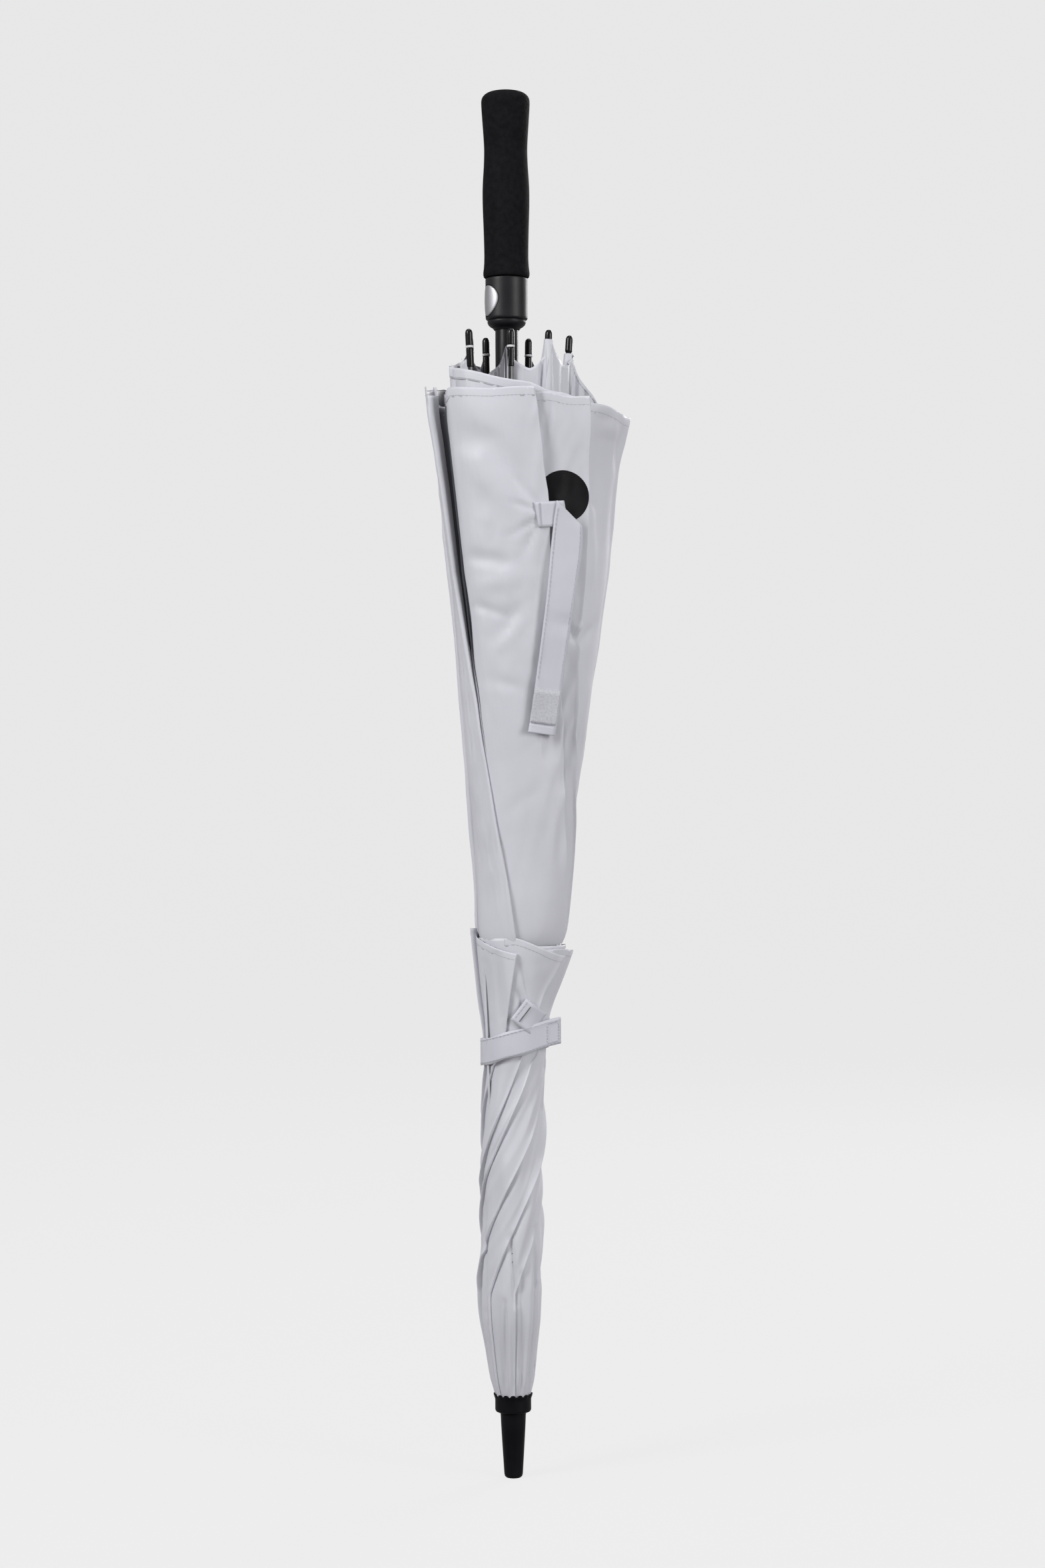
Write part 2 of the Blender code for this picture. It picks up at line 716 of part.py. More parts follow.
def make_fold(k, parent):
    rings = [fold_ring(k, station[0]) for station in CANOPY_STATIONS]
    fold = loft(f"canopy_fold_{k + 1}", rings, ((0.58, 0.58, 0.63), 0.6))
    keep_world(fold, parent)


def band_point(height, angle, offset):
    radius = canopy_radius(height, angle) + offset
    return Vector((radius * math.cos(angle), radius * math.sin(angle), height))


def make_lower_strap():
    """The fastened strap: a closed band round the furled canopy that rises to the right."""
    inner, outer = LOWER_STRAP_OFF, LOWER_STRAP_OFF + STRAP_THICKNESS
    bm = bmesh.new()
    rings = []
    for i in range(ROUND):
        angle = 2.0 * math.pi * i / ROUND
        height = LOWER_STRAP_Z + LOWER_STRAP_RISE * math.cos(angle)
        low, high = height - STRAP_WIDTH / 2.0, height + STRAP_WIDTH / 2.0
        corners = (
            band_point(low, angle, inner),
            band_point(low, angle, outer),
            band_point(high, angle, outer),
            band_point(high, angle, inner),
        )
        rings.append([bm.verts.new(corner) for corner in corners])
    for i, ring in enumerate(rings):
        following = rings[(i + 1) % ROUND]
        for j in range(4):
            bm.faces.new((ring[j], ring[(j + 1) % 4], following[(j + 1) % 4], following[j]))
    bmesh.ops.triangulate(bm, faces=bm.faces)
    add_object("strap_lower", mesh_from(bm, "strap_lower"), WEBBING)


def make_upper_strap(parent):
    """The loose strap, which hangs flat on the front of one fold from its sewn end."""
    rings = []
    for height in UPPER_STRAP_HEIGHTS:
        middle, corner = fold_ring(UPPER_STRAP_FOLD, height)[1:3]
        across = (corner - middle).normalized()
        out = across.cross(Vector((0.0, 0.0, 1.0)))
        near = middle + out * UPPER_STRAP_OFF
        far = near + out * STRAP_THICKNESS
        width = across * STRAP_WIDTH
        rings.append([near, far, far + width, near + width])
    keep_world(loft("strap_upper", rings, WEBBING), parent)


def build():
    clear_scene()
    make_shaft()
    make_ferrule()
    make_cap()
    make_crown()
    make_housing()
    make_grip()
    make_opening_spring()
    button_x, button_y = HOUSING_RADIUS * math.cos(BUTTON_AZIMUTH), HOUSING_RADIUS * math.sin(BUTTON_AZIMUTH)
    make_button(empty_at("button_body", (button_x, button_y, BUTTON_CENTRE), BUTTON_TURN))
    make_runner(empty_at("runner_body", (0.0, 0.0, RUNNER_PIVOT_CLOSED)))
    for k in range(RIBS):
        rib_body = empty_at(f"rib_body_{k + 1}", in_plane(k, PIVOT_RADIUS, PIVOT_Z), azimuth(k))
        make_rib(k, rib_body)
        make_tip(k, rib_body)
        make_bracket(k, rib_body)
        pin = in_plane(k, *pin_at(k, pin_height(k)))
        stretcher_body = empty_at(f"stretcher_body_{k + 1}", pin, azimuth(k))
        keep_world(stretcher_body, rib_body)
        make_stretcher(k, stretcher_body)
        gore_body = empty_at(f"gore_body_{k + 1}", gore_hinge(k)[0], azimuth(k))
        keep_world(gore_body, rib_body)
        make_fold(k, gore_body)
        if k == UPPER_STRAP_FOLD:
            make_upper_strap(gore_body)
    make_lower_strap()


build()
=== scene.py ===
"""The looks of a furled golf umbrella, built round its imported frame. Metres, +Z up along the shaft."""

import math

import bmesh
import bpy
import numpy as np
from mathutils import Matrix, Vector


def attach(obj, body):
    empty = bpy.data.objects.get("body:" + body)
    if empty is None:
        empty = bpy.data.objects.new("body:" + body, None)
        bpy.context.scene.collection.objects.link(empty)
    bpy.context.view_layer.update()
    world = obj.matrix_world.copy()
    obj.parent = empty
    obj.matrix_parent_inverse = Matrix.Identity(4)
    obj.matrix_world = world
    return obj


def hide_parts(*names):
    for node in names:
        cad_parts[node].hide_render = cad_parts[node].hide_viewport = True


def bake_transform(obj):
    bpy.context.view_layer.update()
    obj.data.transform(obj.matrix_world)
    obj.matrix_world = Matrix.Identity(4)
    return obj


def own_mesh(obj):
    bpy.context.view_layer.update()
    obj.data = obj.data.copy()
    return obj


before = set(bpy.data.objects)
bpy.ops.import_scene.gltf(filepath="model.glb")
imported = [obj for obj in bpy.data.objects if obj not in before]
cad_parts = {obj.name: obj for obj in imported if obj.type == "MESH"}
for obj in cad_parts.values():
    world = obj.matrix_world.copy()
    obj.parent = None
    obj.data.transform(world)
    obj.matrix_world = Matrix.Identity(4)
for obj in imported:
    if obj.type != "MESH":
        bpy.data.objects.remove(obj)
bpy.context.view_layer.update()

# ---- driving dimensions, as in the CAD model ----
RIBS = 8
FIRST_AZIMUTH = math.radians(-130.0)
STEP_AZIMUTH = 2.0 * math.pi / RIBS
TIP_RADII = (0.042, 0.034, 0.0394, 0.0456, 0.0246, 0.022, 0.02, 0.027)
PIVOT_Z = 0.068
PIVOT_RADIUS = 0.0105
RIB_TOP = 0.824
RIB_SPAN = RIB_TOP - PIVOT_Z
RIB_BOW = 1.5
TIP_LENGTH = 0.027
TIP_NECK = 0.0136  # how far up the tip its neck lies
SPREAD = math.radians(40.587)  # between two open ribs

HOUSING_RADIUS = 0.0152
BUTTON_CENTRE = 0.848
BUTTON_HALF_WIDTH = 0.0104
BUTTON_HALF_HEIGHT = 0.0113
POCKET_DEPTH = 0.0036

# ---- the furled canopy ----
# outlines: (height, half width to the left, to the right, to the front and back)
MAIN_OUTLINE = (
    (0.315, 0.013, 0.016, 0.014),
    (0.35, 0.015, 0.02, 0.016),
    (0.372, 0.0185, 0.027, 0.02),
    (0.384, 0.024, 0.0366, 0.0272),
    (0.392, 0.0262, 0.04, 0.029),
    (0.415, 0.0262, 0.0424, 0.0306),
    (0.449, 0.0283, 0.0463, 0.032),
    (0.496, 0.0318, 0.0525, 0.034),
    (0.55, 0.0362, 0.0594, 0.0371),
    (0.634, 0.043, 0.0688, 0.0422),
    (0.702, 0.0512, 0.0757, 0.0458),
    (0.733, 0.0556, 0.0795, 0.0472),
    (0.764, 0.0608, 0.088, 0.0491),
    (0.805, 0.064, 0.0925, 0.05),
)
VENT_OUTLINE = (
    (0.055, 0.0116, 0.0116, 0.0116),
    (0.06, 0.0124, 0.0122, 0.0123),
    (0.066, 0.0146, 0.0139, 0.0142),
    (0.075, 0.0166, 0.0152, 0.0159),
    (0.095, 0.0197, 0.0174, 0.0186),
    (0.112, 0.0229, 0.0195, 0.0212),
    (0.126, 0.024, 0.0201, 0.0222),
    (0.169, 0.0234, 0.0211, 0.0224),
    (0.213, 0.0228, 0.022, 0.0224),
    (0.263, 0.0216, 0.0229, 0.0223),
    (0.298, 0.0194, 0.024, 0.0218),
    (0.318, 0.0203, 0.0262, 0.0226),
    (0.339, 0.0226, 0.0293, 0.0242),
    (0.36, 0.0255, 0.037, 0.0268),
    (0.382, 0.0277, 0.0445, 0.03),
    (0.4, 0.0285, 0.0465, 0.031),
)
# where each flap's folded edge lies: (height, degrees), in order round the shaft
MAIN_EDGES = (
    (
        (0.385, -82), (0.43, -94.5), (0.47, -108), (0.53, -125), (0.585, -136.5), (0.65, -150), (0.73, -156),
        (0.79, -160),
    ),
    (
        (0.392, -13), (0.48, -28), (0.54, -35), (0.6, -45.0), (0.673, -53.2), (0.707, -55.6), (0.728, -60.3),
        (0.79, -70),
    ),
    ((0.4, 2), (0.48, -15.7), (0.535, -22.7), (0.61, -27.5), (0.686, -27.3), (0.707, -28.2), (0.79, -35)),
    ((0.385, 40), (0.6, 8), (0.79, 0)),
    ((0.385, 76), (0.79, 42)),
    ((0.385, 106), (0.79, 84)),
    ((0.385, 134), (0.79, 122)),
    ((0.385, 162), (0.79, 160)),
)
VENT_EDGES = (
    ((0.3, -150), (0.34, -163), (0.395, -168)),
    ((0.298, -122), (0.305, -112), (0.323, -100), (0.379, -82)),
    ((0.305, -70), (0.34, -42), (0.379, -19)),
    ((0.3, -46), (0.34, -10), (0.38, 0)),
    ((0.3, 12), (0.38, 45)),
    ((0.3, 60), (0.38, 80)),
    ((0.3, 110), (0.38, 118)),
    ((0.3, 155), (0.38, 155)),
)
# the height of each flap's hem, at its folded edge and under each of the next five edges
MAIN_HEMS = (
    (0.782, 0.784, 0.783, 0.778, 0.772, 0.772),
    (0.78, 0.7815, 0.786, 0.786, 0.782, 0.78),
    (0.774, 0.778, 0.779, 0.779, 0.78, 0.78),
    (0.763, 0.7735, 0.784, 0.799, 0.806, 0.8),
    (0.77, 0.766, 0.77, 0.778, 0.785, 0.782),
    (0.776, 0.77, 0.765, 0.765, 0.775, 0.778),
    (0.781, 0.776, 0.77, 0.764, 0.764, 0.77),
    (0.782, 0.781, 0.776, 0.77, 0.765, 0.77),
)
# the height of each vent flap's hem, at its folded edge and under the next edge
VENT_HEMS = (
    (0.3965, 0.39), (0.379, 0.392), (0.3765, 0.39), (0.38, 0.3815),
    (0.383, 0.384), (0.387, 0.385), (0.388, 0.387), (0.39, 0.388),
)
# the innermost layer's radius over the outline's: (degrees, share)
MAIN_CORE_SHARES = (
    (-175, 0.49), (-157, 0.59), (-130, 0.88), (-85, 0.78), (-40, 0.68), (5, 0.56),
    (20, 0.83), (42, 0.77), (95, 0.59), (140, 0.5), (185, 0.49),
)
VENT_CORE_SHARES = (
    (-168, 0.74), (-150, 0.84), (-85, 0.86), (-20, 0.84), (0, 0.74), (40, 0.84), (120, 0.84), (192, 0.74),
)
# creases: from (degrees, height) to (degrees, height), width in metres, depth as a share of the radius
MAIN_CREASES = (
    (-140, 0.748, -100, 0.742, 0.01, 0.017),
    (-100, 0.742, -70, 0.704, 0.009, 0.022),
    (-120, 0.728, -80, 0.69, 0.007, -0.02),
    (-64, 0.697, -80, 0.716, 0.0022, 0.022),
    (-64, 0.694, -88, 0.7, 0.002, 0.02),
    (-64, 0.688, -86, 0.676, 0.0022, 0.024),
    (-64, 0.684, -76, 0.662, 0.0024, 0.022),
    (-130, 0.662, -82, 0.656, 0.005, 0.022),
    (-118, 0.64, -70, 0.648, 0.006, -0.018),
    (-125, 0.628, -90, 0.618, 0.0028, 0.02),
    (-104, 0.604, -72, 0.63, 0.004, 0.026),
    (-98, 0.596, -70, 0.618, 0.0024, -0.018),
    (-108, 0.574, -60, 0.566, 0.005, 0.016),
    (-78, 0.52, -52, 0.534, 0.0018, 0.014),
    (-92, 0.48, -50, 0.5, 0.006, 0.016),
    (-18, 0.76, -16, 0.7, 0.004, 0.03),
    (-12, 0.745, -10, 0.64, 0.005, 0.028),
    (-20, 0.69, -14, 0.64, 0.0026, -0.018),
    (-42, 0.622, -24, 0.6, 0.0022, 0.035),
    (-36, 0.606, -22, 0.618, 0.0018, -0.02),
    (-20, 0.6, -8, 0.616, 0.003, 0.03),
)
VENT_CREASES = (
    (-76, 0.372, -60, 0.345, 0.0016, 0.06),
    (-78, 0.352, -66, 0.336, 0.0018, 0.07),
    (-110, 0.378, -104, 0.335, 0.003, 0.04),
    (-132, 0.372, -128, 0.33, 0.0026, 0.05),
    (-50, 0.37, -30, 0.34, 0.005, 0.03),
    (-150, 0.2, -150, 0.12, 0.0018, 0.11),
    (-92, 0.176, -84, 0.128, 0.002, 0.12),
    (-72, 0.15, -74, 0.08, 0.0016, 0.08),
    (-38, 0.182, -42, 0.074, 0.0014, 0.12),
    (-104, 0.13, -106, 0.07, 0.0016, 0.08),
)
MAIN_CREASE_DEPTH = 2.3  # how many times deeper than their tables say the creases are
VENT_CREASE_DEPTH = 1.5
MAIN_LOW = 0.33  # where each canopy starts
VENT_LOW = 0.0575
CANOPY_THICKNESS = 0.00028
TRIM_THICKNESS = 0.0003
HEM_LIFT = 0.00012  # how far a hem stands off its flap
GAP_HEIGHTS = (0.42, 0.5, 0.585, 0.675, 0.78)  # the dark gap beside the left flap's edge
GAP_DEPTHS = (0.02, 0.06, 0.14, 0.25, 0.34)  # how far the cloth sinks there, as a share of the radius
GAP_SHADE_WIDTHS = (0.026, 0.04, 0.058, 0.085, 0.15)  # how wide the dark strip of painted shade laid in the gap is, in folded edges round the shaft
TWIST_LOW = 0.135  # the vent canopy is wound between these heights, by this much
TWIST_HIGH = 0.305
TWIST = math.radians(195.0)
# the rim round the tips: its foot, and its height at each rib and between each rib and the next
RIM_LOW = 0.758
RIM_PEAKS = (0.8115, 0.812, 0.8165, 0.811) + (0.81,) * 4
RIM_VALLEYS = (0.791, 0.796, 0.8, 0.786, 0.792, 0.792, 0.792, 0.8)
RIM_BELLIES = (0.003,) * 7 + (0.0065,)  # how far each scallop bulges outwards
SILVER_GORE = 0  # the gore in front whose underside is turned to the front
# where the rim passes each rib: how far outside it, and how far round from it
RIM_STANDS = ((-0.003, -0.003), (-0.0036, -0.0034)) + ((0.0034, 0.0),) * 2 + ((0.0032, 0.0),) * 4
POCKETED = {2: 0.8165, 3: 0.81}  # the ribs whose tips sit in cloth pockets, and how high the pockets reach
# the loose strap's tail: left x and height, right x and height, distance from the cloth
HANGING_STRAP = (
    (0.035, 0.7006, 0.0528, 0.6833, 0.0032),
    (0.0328, 0.686, 0.0531, 0.679, 0.0034),
    (0.0306, 0.667, 0.0524, 0.664, 0.0036),
    (0.0276, 0.635, 0.0476, 0.6325, 0.0038),
    (0.0228, 0.598, 0.0418, 0.5955, 0.0036),
    (0.0174, 0.5605, 0.0362, 0.558, 0.0034),
    (0.0148, 0.544, 0.0338, 0.5415, 0.0034),
    (0.0136, 0.5368, 0.0326, 0.534, 0.0036),
)
# the right-hand gore's hem: x, y and height
SLOPE_HEM = (
    (0.0462, 0.003, 0.8115), (0.049, 0.004, 0.804), (0.0535, 0.0055, 0.794), (0.059, 0.007, 0.787),
    (0.065, 0.0085, 0.78), (0.0705, 0.0095, 0.771), (0.076, 0.01, 0.765),
)
PRINT_X = 0.0395
PRINT_Z = 0.704
PRINT_RADIUS = 0.0185
BUTTON_AZIMUTH = math.radians(-157.0)
# the open canopy's strips: where they start and end along a rib, and how far outside it they lie at both ends
STRIP_MAIN = (0.235, 0.736, (0.0036, 0.0032))
STRIP_VENT = (0.012, 0.32, (0.0036, 0.0062))
STRIP_ASIDE = 0.0036  # each gathered strip hangs beside its rib
STRIP_THICKNESS = 0.00025
STRAP_THICKNESS = 0.0011
BAND_WIDTH = 0.0192
TAB_LENGTH = 0.0225  # the fastened strap's free end

CAMERA_PLACE = (0.0094, -2.25, 0.5)
CAMERA_ROLL = math.radians(0.345)
CAMERA_LENS = 71.6
WORLD_STRENGTH = 0.35
# lamps: name, place, height they aim at, size, power
LAMPS = (
    ("key", (-1.9, -1.6, 1.8), 0.5, (0.8, 1.3), 58.0),
    ("fill", (2.1, -1.6, 1.05), 0.5, (0.9, 1.4), 38.0),
    ("top", (0.2, -0.4, 2.9), 0.6, (1.2, 1.2), 16.0),
    ("rear", (1.4, 2.0, 1.6), 0.5, (1.0, 1.4), 34.0),
)


# ---- small tools ----
def smoothed(table, spread=0.006):
    """The outline's columns on a fine ladder of heights, with their corners rounded."""
    rows = np.array(table, float)
    heights = np.arange(rows[0, 0] - 0.03, rows[-1, 0] + 0.03, 0.001)
    reach = int(3 * spread / 0.001)
    weights = np.exp(-0.5 * (np.arange(-reach, reach + 1) * 0.001 / spread) ** 2)
    weights /= weights.sum()
    columns = []
    for column in rows.T[1:]:
        fine = np.interp(heights, rows[:, 0], column)
        padded = np.pad(fine, reach, mode="edge")
        columns.append(np.convolve(padded, weights, mode="valid"))
    return heights, columns


MAIN_FINE = smoothed(MAIN_OUTLINE)
VENT_FINE = smoothed(VENT_OUTLINE, 0.004)


def outline(fine, z, phi):
    """The furled bundle's radius at a height and an azimuth."""
    left, right, deep = (np.interp(z, fine[0], column) for column in fine[1])
    c, s = np.cos(phi), np.sin(phi)
    across = np.where(c > 0.0, right, left)
    return 1.0 / np.hypot(c / across, s / deep)


def waves(a, b, seed, count, a_band, b_band):
    """A soft, repeatable noise of unit size: a sum of plane waves, whole numbers of them round a."""
    rng = np.random.default_rng(seed)
    total = 0.0
    for _ in range(count):
        turns = rng.integers(a_band[0], a_band[1] + 1)
        rate = rng.uniform(*b_band) * rng.choice((-1.0, 1.0))
        total = total + np.sin(turns * a + rate * b + rng.uniform(0.0, 2.0 * math.pi))
    return total / math.sqrt(count)


def step(x, low, high):
    t = np.clip((x - low) / (high - low), 0.0, 1.0)
    return t * t * (3.0 - 2.0 * t)


def half_turns(angle):
    """The same angle between minus and plus half a turn."""
    return np.mod(angle + math.pi, 2.0 * math.pi) - math.pi


def round_shaft(radius, angle, height):
    return np.stack([radius * np.cos(angle), radius * np.sin(angle), height], axis=-1)


def new_object(name, data, material=None):
    made = bpy.data.objects.new(name, data)
    bpy.context.scene.collection.objects.link(made)
    if material:
        data.materials.append(material)
    return made


def grid_mesh(name, points, material, wrap=False):
    """A sheet through an array of points (rows, columns, 3), joined round the columns if wrap is set."""
    rows, columns = points.shape[:2]
    index = np.arange(rows * columns).reshape(rows, columns)
    following = np.roll(index, -1, axis=1) if wrap else index[:, 1:]
    here = index if wrap else index[:, :-1]
    faces = np.stack([here[:-1], following[:-1], following[1:], here[1:]], axis=-1).reshape(-1, 4)
    mesh = bpy.data.meshes.new(name)
    mesh.from_pydata(points.reshape(-1, 3).tolist(), [], faces.tolist())
    mesh.shade_smooth()
    return new_object(name, mesh, material)


def made_from(bm, name, material):
    mesh = bpy.data.meshes.new(name)
    bm.to_mesh(mesh)
    bm.free()
    return new_object(name, mesh, material)


def join_meshes(name, pieces, material):
    bm = bmesh.new()
    for piece in pieces:
        bm.from_mesh(piece.data)
        bpy.data.objects.remove(piece, do_unlink=True)
    made = made_from(bm, name, material)
    made.data.shade_smooth()
    return made


def apply_modifiers(piece):
    bpy.context.view_layer.update()
    seen = piece.evaluated_get(bpy.context.evaluated_depsgraph_get())
    piece.data = bpy.data.meshes.new_from_object(seen)
    piece.modifiers.clear()


def thicken(piece, thickness, inside=0):
    """Gives a sheet its thickness. inside is how many material slots further on its other face lies."""
    shell = piece.modifiers.new("thickness", "SOLIDIFY")
    shell.thickness = thickness
    shell.offset = 0.0
    shell.material_offset = inside
    apply_modifiers(piece)


def weld(piece, distance):
    """Joins corners that lie within a distance, and turns every face outwards."""
    bm = bmesh.new()
    bm.from_mesh(piece.data)
    bmesh.ops.remove_doubles(bm, verts=bm.verts, dist=distance)
    bmesh.ops.recalc_face_normals(bm, faces=bm.faces)
    bm.to_mesh(piece.data)
    bm.free()


def curve_through(points, per_span):
    """A smooth curve through a short list of points, with per_span steps between two of them."""
    points = np.array(points, float)
    padded = np.vstack([2 * points[0] - points[1], points, 2 * points[-1] - points[-2]])
    out = []
    for i in range(1, len(padded) - 2):
        p0, p1, p2, p3 = padded[i - 1 : i + 3]
        for t in np.linspace(0.0, 1.0, per_span, endpoint=False):
            out.append(
                0.5 * (2 * p1 + (p2 - p0) * t + (2 * p0 - 5 * p1 + 4 * p2 - p3) * t**2
                       + (3 * p1 - p0 - 3 * p2 + p3) * t**3)
            )
    out.append(points[-1])
    return np.array(out)


def lathe(name, profile, per_span, material, segments, shape=None):
    """A piece turned from a smooth profile through a few points of (radius, height), with per_span steps
    between two of them. shape(radius, height, angle) may change radius and height."""
    profile = curve_through(profile, per_span)
    angles = np.linspace(0.0, 2.0 * math.pi, segments, endpoint=False)
    radius = np.maximum(profile[:, :1], 0.0) + 0.0 * angles
    height = profile[:, 1:] + 0.0 * angles
    if shape:
        radius, height = shape(radius, height, angles[None, :])
    made = grid_mesh(name, round_shaft(radius, angles, height), material, wrap=True)
    weld(made, 0.000004)
    made.data.shade_smooth()
    return made


# ---- materials ----
def set_inputs(node, values):
    for name, value in values.items():
        node.inputs[name].default_value = value


def new_material(name, colour, roughness, metallic=0.0, sheen=0.0, specular=0.5):
    made = bpy.data.materials.new(name)
    made.use_nodes = True
    shader = made.node_tree.nodes["Principled BSDF"]
    set_inputs(shader, {
        "Base Color": (*colour, 1.0), "Roughness": roughness, "Metallic": metallic, "Sheen Weight": sheen,
        "Specular IOR Level": specular,
    })
    return made, made.node_tree, shader


def add_node(tree, kind, values, links):
    """A new shader node: values and links are by the names of its inputs."""
    node = tree.nodes.new("ShaderNode" + kind)
    set_inputs(node, values)
    for name, socket in links.items():
        tree.links.new(socket, node.inputs[name])
    return node


def object_coordinates(tree, scale=(1.0, 1.0, 1.0)):
    source = tree.nodes.new("ShaderNodeTexCoord")
    mapping = add_node(tree, "Mapping", {"Scale": scale}, {"Vector": source.outputs["Object"]})
    return mapping.outputs["Vector"]


def noise_node(tree, vector, scale, detail=3.0):
    return add_node(tree, "TexNoise", {"Scale": scale, "Detail": detail}, {"Vector": vector}).outputs["Fac"]


def vary_colour(tree, shader, factor, dark, light):
    ramp = add_node(tree, "ValToRGB", {}, {"Fac": factor})
    for stop, position, colour in zip(ramp.color_ramp.elements, (0.35, 0.65), (dark, light)):
        stop.position = position
        stop.color = (*colour, 1.0)
    tree.links.new(ramp.outputs["Color"], shader.inputs["Base Color"])


def vary_roughness(tree, shader, factor, low, high):
    spread = add_node(tree, "MapRange", {"To Min": low, "To Max": high}, {"Value": factor})
    tree.links.new(spread.outputs["Result"], shader.inputs["Roughness"])


def add_bump(tree, shader, heights):
    """heights is a list of (height socket, depth in metres, strength)."""
    last = {}
    for socket, depth, strength in heights:
        bump = add_node(tree, "Bump", {"Strength": strength, "Distance": depth}, {"Height": socket, **last})
        last = {"Normal": bump.outputs["Normal"]}
    tree.links.new(last["Normal"], shader.inputs["Normal"])


def weave(tree, vector, pitch):
    """Two crossed sets of fine threads, one up the cloth and one round it."""
    sets = []
    for direction in ("Z", "X"):
        wave = add_node(tree, "TexWave", {"Scale": 0.314 / pitch, "Distortion": 0.6}, {"Vector": vector})
        wave.wave_type = "BANDS"
        wave.bands_direction = direction
        sets.append(wave.outputs["Fac"])
    mix = tree.nodes.new("ShaderNodeMath")
    mix.operation = "MULTIPLY"
    for socket, fac in zip(mix.inputs, sets):
        tree.links.new(fac, socket)
    return mix.outputs["Value"]


def cloth_material(name, dark, light, roughness, sheen):
    made, tree, shader = new_material(name, light, roughness, sheen=sheen, specular=0.32)
    shader.inputs["Sheen Roughness"].default_value = 0.4
    vector = object_coordinates(tree)
    stretched = object_coordinates(tree, (1.0, 1.0, 0.3))
    vary_colour(tree, shader, noise_node(tree, vector, 14.0), dark, light)
    vary_roughness(tree, shader, noise_node(tree, vector, 60.0), roughness - 0.05, roughness + 0.06)
    add_bump(tree, shader, [
        (weave(tree, vector, 0.00045), 0.00006, 0.35),
        (noise_node(tree, stretched, 95.0, 2.0), 0.0012, 0.4),
        (noise_node(tree, vector, 420.0, 2.0), 0.00015, 0.25),
    ])
    return made


def plastic_material(name, colour, roughness, grain, depth, specular):
    made, tree, shader = new_material(name, colour, roughness, specular=specular)
    vector = object_coordinates(tree)
    lighter = tuple(min(c * 1.35 + 0.002, 1.0) for c in colour)
    vary_colour(tree, shader, noise_node(tree, vector, 45.0), colour, lighter)
    vary_roughness(tree, shader, noise_node(tree, vector, 160.0), roughness * 0.88, roughness * 1.15)
    add_bump(tree, shader, [(noise_node(tree, vector, grain, 2.0), depth, 0.35)])
    return made


def foam_material():
    made, tree, shader = new_material("foam", (0.005, 0.005, 0.006), 0.86, specular=0.1)
    vector = object_coordinates(tree)
    cells = add_node(tree, "TexVoronoi", {"Scale": 1500.0}, {"Vector": vector})
    dark, light = (0.0035, 0.0034, 0.0042), (0.0065, 0.0064, 0.0078)
    vary_colour(tree, shader, noise_node(tree, vector, 260.0), dark, light)
    vary_roughness(tree, shader, noise_node(tree, vector, 120.0), 0.78, 0.92)
    add_bump(tree, shader, [
        (cells.outputs["Distance"], 0.00025, 0.45),
        (noise_node(tree, vector, 220.0, 3.0), 0.0005, 0.3),
    ])
    return made


def metal_material(name, colour, roughness, along):
    made, tree, shader = new_material(name, colour, roughness, metallic=1.0)
    vector = object_coordinates(tree, along)
    fine = noise_node(tree, vector, 900.0, 2.0)
    vary_roughness(tree, shader, fine, roughness * 0.8, roughness * 1.3)
    vary_colour(tree, shader, noise_node(tree, vector, 80.0), tuple(c * 0.9 for c in colour), colour)
    add_bump(tree, shader, [(fine, 0.00003, 0.25)])
    return made


def thread_material(name, colour):
    made, tree, shader = new_material(name, colour, 0.7, sheen=0.2)
    vector = object_coordinates(tree)
    vary_colour(tree, shader, noise_node(tree, vector, 900.0), tuple(c * 0.82 for c in colour), colour)
    add_bump(tree, shader, [(noise_node(tree, vector, 2500.0), 0.0001, 0.6)])
    return made


CLOTH = cloth_material("canopy_cloth", (0.52, 0.52, 0.565), (0.56, 0.56, 0.607), 0.42, 0.25)
# dark cloth for the flaps' inner layers, the rim's inner side and the gap strip: partly a dark underside,
# partly painted shade where light does not reach
DARK_LINING_AND_SHADE = cloth_material("dark_lining_and_painted_shade", (0.06, 0.062, 0.074), (0.09, 0.092, 0.106), 0.34, 0.1)
RIM_LINING = cloth_material("silver_lining", (0.14, 0.14, 0.157), (0.24, 0.24, 0.265), 0.26, 0.05)
STRAP = cloth_material("strap_cloth", (0.5, 0.5, 0.555), (0.545, 0.545, 0.6), 0.5, 0.25)
FOAM = foam_material()
PLASTIC = plastic_material("black_plastic", (0.0068, 0.0066, 0.0082), 0.44, 900.0, 0.00005, 0.26)
TUBE = plastic_material("runner_plastic", (0.005, 0.0048, 0.0062), 0.34, 700.0, 0.00004, 0.25)
FERRULE = plastic_material("ferrule_plastic", (0.003, 0.0028, 0.004), 0.4, 600.0, 0.00006, 0.1)
GLOSSY = plastic_material("tip_plastic", (0.003, 0.003, 0.0038), 0.2, 500.0, 0.00004, 0.3)
FIBRE = plastic_material("rib_fibre", (0.008, 0.008, 0.01), 0.3, 1200.0, 0.00004, 0.5)
SILVER = metal_material("silver_button", (0.47, 0.47, 0.49), 0.5, (1.0, 1.0, 0.05))
STEEL = metal_material("spring_steel", (0.55, 0.55, 0.57), 0.3, (1.0, 1.0, 0.05))
SHAFT = metal_material("shaft_steel", (0.3, 0.3, 0.31), 0.32, (1.0, 1.0, 0.02))
THREAD = thread_material("white_thread", (0.72, 0.72, 0.74))
STITCH = thread_material("stitch_thread", (0.46, 0.46, 0.51))
TACK = thread_material("tack_thread", (0.1, 0.1, 0.11))
FUZZ = thread_material("loop_fuzz", (0.5, 0.5, 0.545))
PRINT = plastic_material("black_print", (0.004, 0.0038, 0.0048), 0.55, 1500.0, 0.00003, 0.12)


